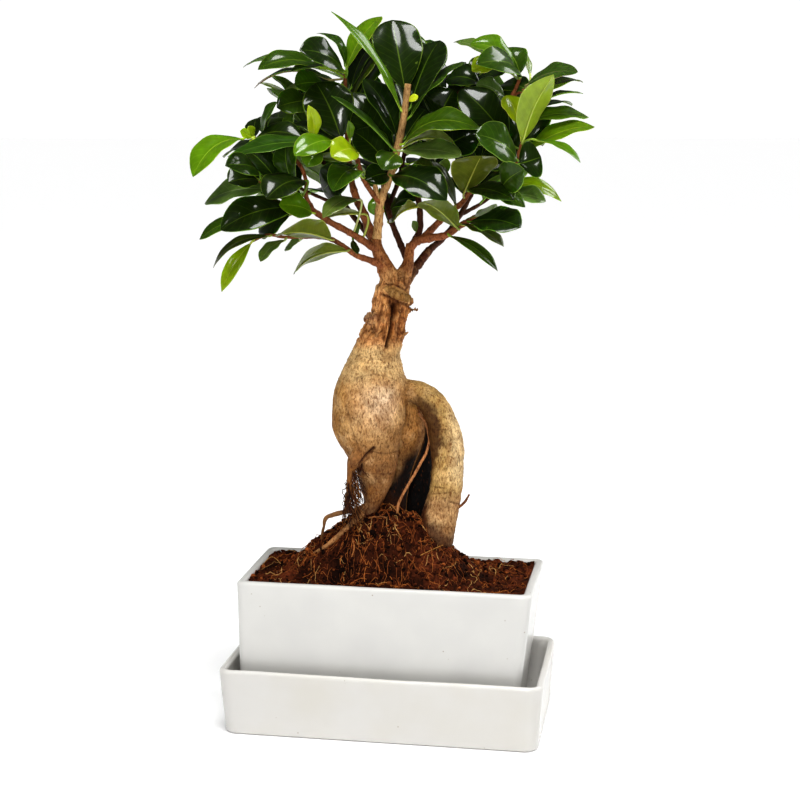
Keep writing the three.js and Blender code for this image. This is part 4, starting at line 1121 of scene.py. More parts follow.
        x, y = place[:, 0], place[:, 1]
        root, arch = share["swollenRoot"] + share["sideRoot"], share["archRoot"]
        patches = rough(points, 9.0, 4, 11.0)
        fine = rough(points, (2.6, 2.6, 4.0), 3, 12.0)
        # Painted highlights: the bulge's front is painted paler where the light falls on it.
        for *bell, strength, tint in self.painted_highlights:
            wash(hill(x, y, *bell) * strength * root, tint)
        for layer in self.root_washes:
            wash(layer.reach(x, y) * root, layer.tint)
        low = smooth_step(*self.paint_top, y)
        neck = smooth_step(*self.neck_paint, y) * (0.25 + 0.75 * low)
        wash(neck * smooth_step(0.0, 0.5, fine) * 0.7, "#cf9e68")
        wash(neck * smooth_step(0.0, -0.5, fine) * 0.7, "#5c2c12")
        wash(self.scar_reach(place) * 0.85, "#936f3e")
        for layer in self.arch_washes:
            wash(layer.reach(x, y) * arch, layer.tint)
        wash(smooth_step(0.1, 0.6, patches) * 0.3 * low, "#e0bc88")
        wash(smooth_step(-0.05, -0.5, patches) * 0.4 * low, "#8a5822")
        wash(smooth_step(0.1, 0.7, fine) * 0.35 * (y > self.specks_begin), "#74481c")
        # Painted shadow of the bulge on the inner side of the arching root.
        shadow_y, shadow_x = zip(*self.arch_shadow_line)
        shadow_edge = np.interp(y, shadow_y, shadow_x) + 6 * rough(points, 5.0, 3, 14.0)
        wash(smooth_step(shadow_edge + 5, shadow_edge - 7, x) * arch * 0.9, "#42220a")
        # Painted shade in the hollow between the roots: what faces the front there, on the lower rear lobe
        # and on the root behind it, is painted nearly black.
        inside = smooth_step(0.1, 0.5, normals @ VIEW.to_eye)
        wash(smooth_step(*self.hollow, y) * share["rearLobe"] * 1.1 * inside, "#140803")
        wash(share["shadedRoot"] * 1.3 * inside, "#070302")
        rest = points[:, 2] - soil.base_height(points[:, 0], points[:, 1])
        wash(smooth_step(15.0, 1.0, rest + 5 * rough(points, 8.0, 2, 13.0)) * 0.85, "#4a2815")
        return np.column_stack([colour[:, :3], np.ones(len(points))])


def distance_to_line(places: Array, line: Sequence[Span]) -> Array:
    """Returns each place's distance from a line through the given points."""
    nearest = np.full(len(places), np.inf)
    for start, end in zip(np.array(line[:-1], float), np.array(line[1:], float)):
        span = end - start
        share = np.clip((places - start) @ span / max(span @ span, 1e-9), 0, 1)
        nearest = np.minimum(nearest, np.linalg.norm(places - start - share[:, None] * span, axis=1))
    return nearest


NO_PITS = (0.0, 0.0, 0.0)  # the relief mark of plain bark


@dataclass(frozen=True)
class Strand:
    """A thin root that lies on the soil, through pixels and how far it is lifted there, in mm."""

    radius: float
    tint: str
    line: tuple[tuple[float, float, float], ...]


@dataclass
class FineRoots:
    """The thin roots that stand free of the trunk, and the hairs that hang from the side root."""

    roots: dict[str, Limb]
    strands: tuple[Strand, ...]
    slimness: float = 0.85
    hairs: int = 130
    seed: int = 31
    hair_tints: tuple[str, ...] = ("#4a2612", "#2e160a", "#7c5028")

    def build(self, trunk: Trunk, soil: SoilHeap) -> None:
        """Makes every root, hair and strand in one piece."""
        chance = np.random.default_rng(self.seed)
        patch = Patchwork()
        for root in self.roots.values():
            self.add_root(patch, root)
        side = trunk.limbs["sideRoot"].rows(6)
        for _ in range(self.hairs):
            self.add_hair(patch, side[int(chance.uniform(0.25, 0.85) * len(side))], chance)
        for strand in self.strands:
            places = [soil.under(x, y, lift) for x, y, lift in smooth_rows(strand.line, 8)]
            radii = strand.radius * np.linspace(1.0, 0.6, len(places))
            tube = swept(np.array(places), radii, radii, 6)
            patch.add(*tube, tint=linear(strand.tint), relief=NO_PITS)
        piece = patch.piece("fine_roots", trunk.finish.build())
        settle(piece, "bark", "trunk")

    def add_root(self, patch: Patchwork, root: Limb) -> None:
        """Adds a knobbly root."""
        rows = root.rows(9)
        path = VIEW.seen(rows[:, :3])
        path = path + 0.3 * rough_moves(path, 7.0, (1.0, 2.0, 3.0))
        radii = self.slimness * rows[:, 3] * (1 + 0.2 * rough(path, 3.5, 2, 4.0))
        points, faces = swept(path, radii, radii, 12)
        points = points + 0.12 * rough_moves(points, 1.6, (5.0, 6.0, 7.0))
        tint = shaded(root.tint, 1 + 0.3 * rough(points, 6.0, 2, 8.0))
        patch.add(points, faces, tint=tint, relief=NO_PITS)

    def add_hair(self, patch: Patchwork, row: Array, chance: Generator) -> None:
        """Hangs a hair from a row of the side root, drifting as it falls."""
        steps = int(chance.integers(8, 15))
        drift = np.cumsum(chance.normal(0, 0.5, (steps, 2)), axis=0)
        fall = np.linspace(0, chance.uniform(6, 22), steps)
        across = chance.uniform(-1.2, 7.5) * np.linspace(0, 1, steps) ** 1.2
        path = VIEW.seen(row[:3]) + VIEW.across * (across + drift[:, 0])[:, None]
        path = path + VIEW.to_eye * drift[:, 1:2] - np.array([0, 0, 1]) * fall[:, None]
        radii = chance.uniform(0.18, 0.38) * np.linspace(1, 0.5, steps)
        tint = linear(chance.choice(self.hair_tints))
        patch.add(*swept(path, radii, radii, 5), tint=tint, relief=NO_PITS)


# ------------------------------------------------------------------ leaves


class Tone(Enum):
    """A leaf's colours: its upper side, its underside, and its midrib with its margin."""

    DEEP = ("#1a2a07", "#4c6120", "#6b8a28")
    MID = ("#30490a", "#597026", "#8cab38")
    FRESH = ("#52740c", "#7f962a", "#a8c044")
    # A bright yellow-green: partly the young leaves' own colour, partly painted light shining through them
    # from behind.
    YOUNG = ("#87a00e", "#97ac28", "#ccd95e")
    BUD = ("#b4bd22", "#b9c03a", "#d6dd58")
    OLIVE = ("#36420f", "#545f1c", "#98a048")
    # A pale grey-green that stands in for the sheen on glossy leaves: painted sheen.
    PALE = ("#586e30", "#7a8a4e", "#a9b978")
    RUSTY = ("#354e18", "#84624a", "#9a9264")

    @classmethod
    def by_letter(cls, letter: str) -> "Tone":
        """Finds the tone whose name starts with a letter."""
        return next(tone for tone in cls if tone.name.startswith(letter))


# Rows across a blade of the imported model: how far along, its half width, and where its points lie.
SHOWN_ROWS = ((0.26, 0.66, (1, 0, -1)), (0.58, 1.0, (1, 0, -1)), (0.87, 0.62, (1, -1)))
HIDDEN_ROWS = ((0.36, 0.84, (1, 0, -1)), (0.76, 0.88, (1, 0, -1)))
MATCH_GAP = 0.03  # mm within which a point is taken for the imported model's own
LEAST_MATCHES = 4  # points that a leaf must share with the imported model


@dataclass(frozen=True)
class LeafPlace:
    """Where a leaf grows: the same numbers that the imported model's leaves are made from, in mm."""

    start: Array
    foot: Array
    tip: Array
    face: Array
    width: float
    arch: float
    rows: tuple = SHOWN_ROWS
    thick: float = 0.45
    fold: float = 0.16

    @cached_property
    def length(self) -> float:
        """The blade's length."""
        return np.linalg.norm(self.tip - self.foot)

    @cached_property
    def along(self) -> Array:
        """The direction from the foot to the tip."""
        return (self.tip - self.foot) / self.length

    @cached_property
    def upper(self) -> Array:
        """The direction that the upper side faces."""
        return unit(self.face - self.along * (self.face @ self.along))

    @cached_property
    def left(self) -> Array:
        """The direction across the blade."""
        return np.cross(self.upper, self.along)

    def middle(self, share: Array) -> Array:
        """Returns points of the arched midrib at shares of its length."""
        share = np.asarray(share, float)[..., None]
        rise = 4 * self.arch * self.length * share * (1 - share)
        return self.foot + self.along * self.length * share + self.upper * rise

    @cached_property
    def packed_points(self) -> Array:
        """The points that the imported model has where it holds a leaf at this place."""
        points = [self.tip + self.upper * self.thick, self.tip - self.upper * self.thick]
        for share, half_share, sides in self.rows:
            half = self.width / 2 * half_share
            for side in sides:
                point = self.middle(share) + self.left * side * half
                point = point + self.upper * abs(side) * self.fold * half
                points += [point + self.upper * self.thick, point - self.upper * self.thick]
        return np.array(points)

    def matches(self, tree: KDTree) -> int:
        """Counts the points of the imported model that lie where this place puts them."""
        return sum(tree.find(Vector(point))[2] < MATCH_GAP for point in self.packed_points)


@dataclass(frozen=True)
class FineLeaf:
    """A thin blade on its stalk: folded along its midrib, each half a shallow pillow, wavy at the rim."""

    place: LeafPlace
    tone: Tone
    blunt: float
    fold: float
    curl: float
    sway: float
    wave: float
    phase: float
    brightness: float
    hue: float
    across: tuple[float, ...] = (-1.0, -0.94, -0.62, -0.28, 0.0, 0.28, 0.62, 0.94, 1.0)
    steps: int = 18
    half_thick: float = 0.17

    @classmethod
    def grown(cls, place: LeafPlace, tone: Tone, chance: Generator) -> "FineLeaf":
        """Draws what makes this leaf differ from its neighbours."""
        slender = np.clip(place.width / place.length, 0.3, 0.65)
        return cls(
            place=place,
            tone=tone,
            blunt=0.95 - 0.7 * (slender - 0.3) + chance.normal(0, 0.05),
            fold=chance.uniform(0.1, 0.22),
            curl=chance.uniform(-0.02, 0.06),
            sway=chance.normal(0, 0.018),
            wave=chance.uniform(0.015, 0.05),
            phase=chance.uniform(0, math.tau),
            brightness=np.clip(chance.normal(1.0, 0.1), 0.75, 1.3),
            hue=chance.normal(0, 0.06),
        )

    def half_width(self, share: Array) -> Array:
        """Returns the blade's half width at shares of its length."""

        def shape(at: Array) -> Array:
            return at**0.75 * (1 - at**2.2) ** self.blunt

        peak = shape(np.linspace(0.3, 0.8, 60)).max()
        return self.place.width / 2 * np.maximum(shape(share) / peak, 0.03)

    def spine(self, share: Array) -> Array:
        """Returns the midrib, which sways a little and droops at its tip."""
        place = self.place
        rise = -self.curl * place.length * share**4
        aside = self.sway * place.length * np.sin(math.pi * share)
        return place.middle(share) + place.upper * rise[:, None] + place.left * aside[:, None]

    def tinted(self, hex_colour: str) -> Array:
        """Returns a colour with this leaf's own brightness and hue."""
        red, green, blue, _ = linear(hex_colour)
        shift = 1 + self.hue
        return np.array([red * shift * self.brightness, green * self.brightness, blue / shift, 1.0])

    def add_to(self, patch: Patchwork) -> None:
        """Adds the blade and the stalk."""
        self.add_blade(patch)
        self.add_stalk(patch)

    def add_blade(self, patch: Patchwork) -> None:
        """Adds the closed blade: an upper and an under sheet that share their rim."""
        place = self.place
        share = 1 - (1 - np.linspace(0.0, 1.0, self.steps)) ** 1.25
        side = np.array(self.across)
        half = self.half_width(np.clip(share, 1e-4, 1 - 1e-4))
        reach = half[:, None] * np.abs(side)
        rise = self.fold * reach + 0.07 * half[:, None] * np.sin(math.pi * np.abs(side))
        ripple = np.sin(math.tau * 2.2 * share[:, None] + self.phase + 1.7 * np.sign(side))
        rise = rise + self.wave * place.width * ripple * side**4 * np.sin(math.pi * share)[:, None]
        sheet = (
            self.spine(share)[:, None]
            + place.left * (half[:, None] * side)[..., None]
            + place.upper * rise[..., None]
        )
        thick = place.upper * (self.half_thick * (1 - np.abs(side) ** 6))[:, None]
        columns, rows = len(side), self.steps
        top = np.arange(rows * columns).reshape(rows, columns)
        under = top.copy()
        inner = np.arange(1, columns - 1)
        under[:, inner] = rows * columns + np.arange(rows * len(inner)).reshape(rows, len(inner))
        points = np.concatenate([(sheet + thick).reshape(-1, 3), (sheet - thick)[:, inner].reshape(-1, 3)])
        faces = grid_faces(top) + [face[::-1] for face in grid_faces(under)]
        for row, turn in ((0, 1), (-1, -1)):
            faces.append([*top[row, ::turn], *under[row, ::turn][::-1][1:-1]])
        upper_tint, under_tint, rib = (self.tinted(colour) for colour in self.tone.value)
        is_under = np.concatenate([np.tile(np.abs(side) > 0.99, rows) * 0.5, np.ones(rows * len(inner))])
        tint = upper_tint + is_under[:, None] * (under_tint - upper_tint)
        place_side = np.concatenate([np.tile(side, rows), np.tile(side[inner], rows)])
        place_share = np.concatenate([np.repeat(share, columns), np.repeat(share, len(inner))])
        leaf_place = np.stack([place_side, place_share, is_under], axis=-1)
        patch.add(points, faces, tint=tint, rib=rib, leaf_place=leaf_place)

    def add_stalk(self, patch: Patchwork) -> None:
        """Adds the stalk, which bends into the blade and runs on below it as the midrib."""
        place = self.place
        reach = np.linalg.norm(place.foot - place.start)
        bend = place.foot - place.along * min(0.5 * reach, 7.0)
        share = np.linspace(0, 1, 9)[:, None]
        stalk = (1 - share) ** 2 * place.start + 2 * share * (1 - share) * bend + share**2 * place.foot
        below = np.linspace(0.06, 0.92, 9)
        radii = np.concatenate([np.linspace(0.62, 0.6, 9), np.linspace(0.5, 0.12, 9)])
        rib = self.spine(below) - place.upper * (self.half_thick + 0.25 * radii[9:])[:, None]
        path = np.concatenate([stalk, rib])
        tint = self.tinted(self.tone.value[2])
        patch.add(*swept(path, radii, radii, 7), tint=tint, rib=tint, leaf_place=(0.0, 0.3, 0.5))


# ------------------------------------------------------------------ stems

# The rosettes' leaves stay inside this outline of the crown, in pixels.
CROWN_OUTLINE = (
    (250, 78), (300, 56), (345, 42), (400, 24), (446, 46), (476, 52), (522, 52), (552, 84),
    (558, 122), (546, 158), (536, 182), (512, 196), (470, 200), (430, 190), (385, 186), (345, 192),
    (322, 214), (270, 220), (240, 200), (230, 168), (252, 132), (268, 104),
)  # fmt: skip

TIP_SHIFTS = (0, 5, -5, 10, -10, 15, -15, 20, -20, 26, -26, 32, -32)
FOOT_SHIFTS = (0, 5, -5, 10, -10)
TURN_STEPS = (0, 18, -18, 36, -36, 54, -54, 75, -75, 100, -100, 130, -130, 165)


def inside_crown(point: Array) -> bool:
    """Tells whether a point shows inside the crown's outline."""
    x, y, _ = VIEW.shown(point)
    inside = False
    for (here_x, here_y), (next_x, next_y) in zip(CROWN_OUTLINE, CROWN_OUTLINE[1:] + CROWN_OUTLINE[:1]):
        if (here_y > y) != (next_y > y) and x < here_x + (y - here_y) * (next_x - here_x) / (next_y - here_y):
            inside = not inside
    return inside


@dataclass(frozen=True)
class LeafyStem:
    """A branch with its twigs and leaves.

    Each branch is rows of pixel x, pixel y, depth and radius. Each leaf that shows is the pixels of its foot
    and tip, how much further forward its tip lies than its twig, its width, the degrees that its upper side
    is rolled upwards, and its arch. Each rosette is a branch's number, from and to as shares of it, and how
    many leaves it has.
    """

    name: str
    order: int
    wood: tuple[Rows, ...]
    leaves: Rows = ()
    tones: str = ""
    rosettes: Rows = ()
    depth_limit: float = 0.0
    bark: str = "#84502f"
    rosette_tones: str = "DDMDMDOD"

    def build(self, skin: Material, bark: Material) -> None:
        """Makes the stem's twigs and its leaves."""
        chance = np.random.default_rng(100 + self.order)
        patch = Patchwork()
        for number, branch in enumerate(self.wood):
            self.add_twig(patch, branch, number)
        node = "stem_" + self.name
        settle(patch.piece("twigs_" + self.name, bark), "bark", node)
        leaves = Patchwork()
        for place, tone in self.packed_leaves():
            FineLeaf.grown(place, tone, chance).add_to(leaves)
        settle(leaves.piece("leaves_" + self.name, skin), "leaf", node)

    def add_twig(self, patch: Patchwork, branch: Sequence, number: int) -> None:
        """Adds a branch with a swelling every few millimetres where a leaf once grew."""
        rows = smooth_rows(branch, 8)
        path = VIEW.seen(rows[:, :3])
        run = np.concatenate([[0], np.cumsum(np.linalg.norm(np.diff(path, axis=0), axis=1))])
        knot = np.exp(-((((run + 2.1 * self.order) % 7.0 - 3.5) / 0.9) ** 2))
        radii = rows[:, 3] * (0.95 + 0.16 * knot + 0.08 * rough(path, 5.0, 2, 1.0 + number))
        points, faces = swept(path, radii, radii, 12)
        points = points + 0.09 * rough_moves(points, 1.8, (2.0, 3.0, 4.0))
        tint = shaded(self.bark, 1 + 0.25 * rough(points, 5.0, 3, 5.0))
        patch.add(points, faces, tint=tint, relief=NO_PITS)

    def packed_leaves(self) -> Iterator[tuple[LeafPlace, Tone]]:
        """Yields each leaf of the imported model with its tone."""
        points = per_point(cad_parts["stem_" + self.name].data, "co") / MM
        tree = KDTree(len(points))
        for index, point in enumerate(points):
            tree.insert(Vector(point), index)
        tree.balance()
        for leaf, letter in zip(self.leaves, self.tones):
            yield from self.best_of(tree, self.shown_places(leaf), letter)
        draw = draws(20 + self.order)
        for branch, start, end, count in self.rosettes:
            first_turn = math.tau * next(draw)
            for i in range(int(count)):
                share = start + (end - start) * (i + 0.5) / count
                turn, drawn = first_turn + i * GOLDEN_TURN, [next(draw) for _ in range(3)]
                places = self.rosette_places(self.wood[int(branch)], share, turn, drawn)
                letter = self.rosette_tones[i % len(self.rosette_tones)]
                yield from self.best_of(tree, places, letter)

    def best_of(
        self, tree: KDTree, places: Iterator[LeafPlace], letter: str
    ) -> Iterator[tuple[LeafPlace, Tone]]:
        """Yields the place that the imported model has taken, or nothing where it has left the leaf out."""
        best = max(places, key=lambda place: place.matches(tree), default=None)
        if best is not None and best.matches(tree) >= LEAST_MATCHES:
            yield best, Tone.by_letter(letter)
        else:
            log.info("%s: a leaf is left out", self.name)

    def twig_behind(self, foot_x: float, foot_y: float, line_x: float, line_y: float) -> Array:
        """Finds the point of the wood near a foot and in line with its blade: pixel x, pixel y and depth."""
        line_length = math.hypot(line_x, line_y)
        best, least = None, math.inf
        for branch in self.wood:
            rows = np.array([row[:3] for row in branch], float)
            for before, after in zip(rows[:-1], rows[1:]):
                for step in range(6):
                    spot = before + step / 6 * (after - before)
                    gap_x, gap_y = foot_x - spot[0], foot_y - spot[1]
                    distance = math.hypot(gap_x, gap_y)
                    in_line = (gap_x * line_x + gap_y * line_y) / (line_length * distance + 1e-6)
                    cost = (distance + 1) * (1.6 - in_line)
                    if cost < least:
                        best, least = spot, cost
        return best

    def shown_places(self, leaf: Sequence[float]) -> Iterator[LeafPlace]:
        """Yields every place that a leaf read off the picture may take."""
        foot_x, foot_y, tip_x, tip_y, lean, width, roll, arch = leaf
        twig = self.twig_behind(foot_x, foot_y, tip_x - foot_x, tip_y - foot_y)
        start, angle = VIEW.seen(twig), math.radians(roll)
        for foot_shift in FOOT_SHIFTS:
            for tip_shift in TIP_SHIFTS:
                foot = VIEW.seen([foot_x, foot_y, twig[2] + 0.2 * lean + foot_shift])
                tip = VIEW.seen([tip_x, tip_y, twig[2] + lean + foot_shift + tip_shift])
                along = unit(tip - foot)
                to_eye = unit(VIEW.to_eye - along * (VIEW.to_eye @ along))
                rising = np.cross(to_eye, along)
                rising = rising if rising[2] >= 0 else -rising
                face = to_eye * math.cos(angle) + rising * math.sin(angle)
                yield LeafPlace(start, foot, tip, face, width, arch)

    def rosette_places(
        self, branch: Sequence, share: float, turn: float, drawn: Sequence[float]
    ) -> Iterator[LeafPlace]:
        """Yields every place that a leaf of a rosette may take."""
        size_draw, open_draw, face_draw = drawn
        points = VIEW.seen([row[:3] for row in branch])
        spans = np.linalg.norm(np.diff(points, axis=0), axis=1)
        rest, index = share * spans.sum(), 0
        while index < len(spans) - 1 and rest > spans[index]:
            rest -= spans[index]
            index += 1
        axis = unit(points[index + 1] - points[index])
        start = points[index] + axis * rest
        aside = unit(np.cross(axis, VIEW.to_eye))
        front = np.cross(axis, aside)
        opening = math.radians(78 - 42 * share + 24 * (open_draw - 0.5))
        face = axis * (0.5 + 0.6 * face_draw)
        face[2] = axis[2] + 0.7
        for size in (1.0, 0.78):
            length = size * (46 - 10 * size_draw)
            for step in TURN_STEPS:
                angle = turn + math.radians(step)
                outward = aside * math.cos(angle) + front * math.sin(angle)
                along = axis * math.cos(opening) + outward * math.sin(opening)
                foot = start + along * 6
                tip = foot + along * length
                if inside_crown(tip) and inside_crown(foot) and tip @ VIEW.to_eye < self.depth_limit:
                    yield LeafPlace(start, foot, tip, face, 0.54 * length, 0.1, HIDDEN_ROWS)


# ------------------------------------------------------------------ places read off the picture

# Each limb's colour, and stations of pixel x, pixel y, depth, half width and half depth where it isn't round.
TRUNK_LIMBS = {
    "swollenRoot": Limb("#b88e58", (
        (394, 283, 0, 7.4, 7), (392, 293, 0, 9.2, 9), (391, 303, 0, 9.9, 9.5), (388, 320, 0, 10, 9.6),
        (382, 336, 0, 11.9, 11), (377.5, 350, 0, 12.8, 12.2), (375.5, 363, 0, 15.4, 14.4),
        (372.5, 384, 0, 18.6, 17.4), (369, 407, 0, 20.1, 18.8), (369, 427, 1, 19.6, 18.4),
        (372.5, 445, 2, 15.7, 15.4), (375.5, 461, 3, 12.3, 12.4), (376, 478, 4, 9.6, 9.8),
        (375, 487, 4.6, 8, 8.4), (373.8, 497, 5.4, 5.9, 6.2), (371.5, 505, 6, 4.3, 4.6),
        (366, 514, 5.5, 3.2, 3.4), (362, 523, 2, 2.6, 2.6),
    )),
    "rearLobe": Limb("#ca9050", (
        (390, 368, -5, 5, 6), (397, 388, -9, 7.6, 9.5), (403.5, 408, -11, 9.6, 11),
        (405.5, 430, -12, 10.2, 11), (404, 448, -12, 8.8, 10), (399, 468, -11, 7.4, 9),
        (394.5, 490, -9, 7.6, 7.6), (391, 512, -8, 8, 6.4), (389, 535, -8, 7, 5),
    )),
    "archRoot": Limb("#b8965c", (
        (397, 389, -3, 6, 7.5), (411, 390.5, -3, 6, 8), (424.5, 396, -2, 6.8, 8.6),
        (435.5, 408, -1, 7.8, 9), (442.5, 425, 0, 8.4, 9.4), (446.5, 444, 1, 9, 9.6),
        (447.5, 466, 2, 9, 9.6), (446.5, 487, 3, 9, 9.4), (441.5, 507, 3, 9.5, 9.4),
        (437.5, 528, 4, 10.1, 9.8), (435.8, 547, 4, 8.8, 9), (435.5, 566, 4, 8.2, 8.4), (436, 590, 4, 6, 6),
    )),
    "shadedRoot": Limb("#8a5c30", (
        (411, 398, -14, 5.5), (419, 420, -19, 7.6), (421, 450, -21, 9.2), (420, 480, -21, 9.8),
        (417, 510, -20, 9.6), (414, 545, -17, 8.4), (413, 574, -15, 7),
    )),
    "sideRoot": Limb("#7c5632", (
        (371, 447, 11, 4.9), (362, 453, 13, 5.2), (356, 459.5, 14, 4.6), (352.3, 467, 14, 3),
        (350.2, 475, 14, 1.9), (348.5, 485, 13.5, 1.35), (348, 493, 13, 1.2), (347, 501, 12, 1.5),
        (348, 510, 11, 1.6),
    )),
    "cutCollar": Limb("#9a7a45", (
        (380, 288.5, 3, 2.2), (387, 291, 7, 2.1), (396, 295.5, 8, 1.9), (405, 299.5, 6, 1.8),
        (413, 302, 2, 1.4),
    )),
    "leftLimb": Limb("#8e5a32", (
        (394, 293, 0, 6.8), (390, 278, 0, 5.4), (383.5, 264, 0, 4.3), (377.5, 249, 0, 3.2),
        (375.5, 238, 0, 3),
    )),
    "rightLimb": Limb("#8e5a32", (
        (398, 293, -1, 6), (403, 277, -2, 4.6), (408, 263, -3, 3.1), (409.5, 251, -4, 2.8),
        (411, 243, -5, 2.8),
    )),
    "rearLimb": Limb("#4a2716", (
        (403, 284, -4, 3.6), (413, 271, -8, 2.8), (421, 261, -13, 2.4), (430, 249, -19, 2.3),
    )),
    "knob": Limb("#6b4334", (
        (375, 317.5, 6, 3), (371.5, 318.5, 7.5, 3.7), (369, 321, 8, 3.3), (367.5, 323.5, 8, 2),
    )),
    "leftLip": Limb("#8f6032", ((385, 289.5, 3, 2.6), (379.5, 288.5, 2, 2.4), (377.5, 288.5, 1, 1.6))),
    "rightLip": Limb("#8f6032", ((403, 299, 5, 2.4), (409.5, 301, 4, 2.4), (412.5, 302.5, 3, 1.5))),
    "thornStub": Limb("#a07448", (
        (401, 311.5, 2, 1.4), (409, 310.4, 2, 1.1), (415, 309.4, 2, 0.8), (417.5, 309, 2, 0.6),
    )),
    "lowThornStub": Limb("#a07448", ((398, 338, 2, 1.4), (404.5, 334.5, 3, 1.1), (407.5, 331.5, 3, 0.6))),
}  # fmt: skip

THIN_ROOTS = {
    "leaningRoot": Limb("#7e5a38", (
        (370, 503, 8, 2.3), (360, 508.5, 10, 1.9), (350, 511, 10.5, 1.7), (337, 514, 9.5, 1.5),
        (326.5, 517.5, 8, 1.4), (324, 527, 6, 0.9), (322, 538, 3, 0.9), (321, 553, 0, 0.9),
    )),
    "crawlingRoot": Limb("#946a42", (
        (371, 505, 7, 3), (363, 513, 7.3, 2.3), (354, 522, 8.8, 2), (345, 530, 9.6, 1.8),
        (335, 539, 10.2, 1.6), (326, 546, 10.2, 1.4), (314, 554, 8.5, 1.2),
    )),
    "airRoot": Limb("#a8744a", (
        (418, 412, -3, 0.9), (425.5, 423, -1, 0.9), (429, 439, 1, 0.9), (426.5, 452, 3, 0.9),
        (418, 468, 5, 0.9), (408, 485, 7, 0.9), (399.5, 501, 8.5, 0.9), (397.5, 512, 8.5, 0.9),
        (397, 535, 5, 0.9),
    )),
    "rootShoot": Limb("#7a4c2c", (
        (452, 512, 3, 1.1), (459, 507, 4, 0.9), (465, 501, 4, 0.8), (469.5, 494.5, 4, 0.7),
    )),
}  # fmt: skip

# How the bark's colour changes over the swollen root and over the arch, in the order in which it is laid on.
ROOT_WASHES = (
    Wash("#946a30", 0.65, x_span=(354, 336)),  # painted shade on the flank on the left
    Wash("#946228", 0.7, x_span=(394, 408), y_span=(365, 390)),  # painted shade on the flank on the right
    Wash("#7c5430", 0.85, y_span=(425, 470)),  # the leg
    Wash("#cfae7a", 0.8, y_span=(392, 372)),  # the shoulder
    Wash("#bc7e46", 1, y_span=(352, 336)),  # the neck
    Wash("#dca066", 0.6, x_span=(392, 380), y_span=(352, 336)),  # the neck's lit side
)
ARCH_WASHES = (
    Wash("#dabf92", 0.75, x_span=(442, 458), y_span=(500, 470)),  # the outer side
    Wash("#a67f58", 0.8, y_span=(485, 505)),  # the foot
)

# Thin roots that lie on the soil: radius, colour, and pixels with the lift above the soil.
SOIL_STRANDS = (
    Strand(0.5, "#8a5a34", (
        (350.5, 508, 0.5), (358, 515, 1.4), (367, 519, 1), (383, 519, 1.2), (394, 522, 0.2),
    )),
    Strand(0.36, "#a0703e", ((383, 499, 0.3), (393, 509, 1.2), (403, 519, 0.2))),
    Strand(0.5, "#a06a3a", ((353, 541, 0.4), (354, 550, 0.8), (351, 560, 0.3))),
    Strand(0.3, "#a8783c", ((420, 556, 0.2), (434, 551, 1.2), (446, 546, 0.8), (455, 548, 0.2))),
    Strand(0.3, "#b08448", ((262, 566, 0.2), (272, 560, 1.8), (283, 566, 0.2))),
)  # fmt: skip

# Grooves and ridges of the bark: half width, rise, line and how dark it is inside.
BARK_STROKES = (
    Stroke(1.7, -3.4, ((395, 305), (393.5, 313), (392.5, 320)), 1),
    Stroke(1.1, -3.4, ((392.5, 320), (390.5, 333), (387.5, 347)), 0.95),
    Stroke(1.5, -2.4, ((389, 302), (392, 308)), 0.9),
    Stroke(0.7, -1.4, ((382, 304), (380, 318), (376, 331)), 0.6),
    Stroke(0.7, -1.2, ((403, 308), (400, 322), (398, 340)), 0.6),
    Stroke(1, 1.1, ((399, 306), (396.5, 320), (393.5, 338))),
    Stroke(1, 0.9, ((388, 310), (386.5, 322), (384, 336))),
    Stroke(0.5, 0.5, ((386, 289), (391, 287.5), (399, 289.5), (408, 295), (412, 300))),
    Stroke(0.5, -1, ((384, 284), (392, 284), (402, 287.5), (411, 295)), 0.7),
    Stroke(0.8, -1.3, ((381, 294), (390, 297.5), (399, 302.5), (409, 306)), 0.8),
    Stroke(0.45, -0.5, ((370, 451), (380, 453.5), (390, 453.5), (399, 451)), 0.5),
    Stroke(0.4, -0.3, ((372, 474), (395, 474)), 0.4),
    Stroke(0.8, -0.6, ((345, 405), (352, 430), (358, 449)), 0.3),
    Stroke(0.8, -1.6, ((374, 448), (367, 454.5), (361.5, 463), (358.5, 472)), 1),
    Stroke(0.45, -0.45, ((355, 378), (364, 376), (375, 374), (388, 377), (399, 382)), 0.35),
    Stroke(0.4, -0.5, ((434, 487), (443, 488)), 0.6),
    Stroke(0.4, -0.5, ((433, 494), (447, 493)), 0.5),
    Stroke(0.4, -0.5, ((449, 502), (459, 504)), 0.5),
    Stroke(0.4, -0.5, ((437, 430), (446, 430)), 0.4),
)

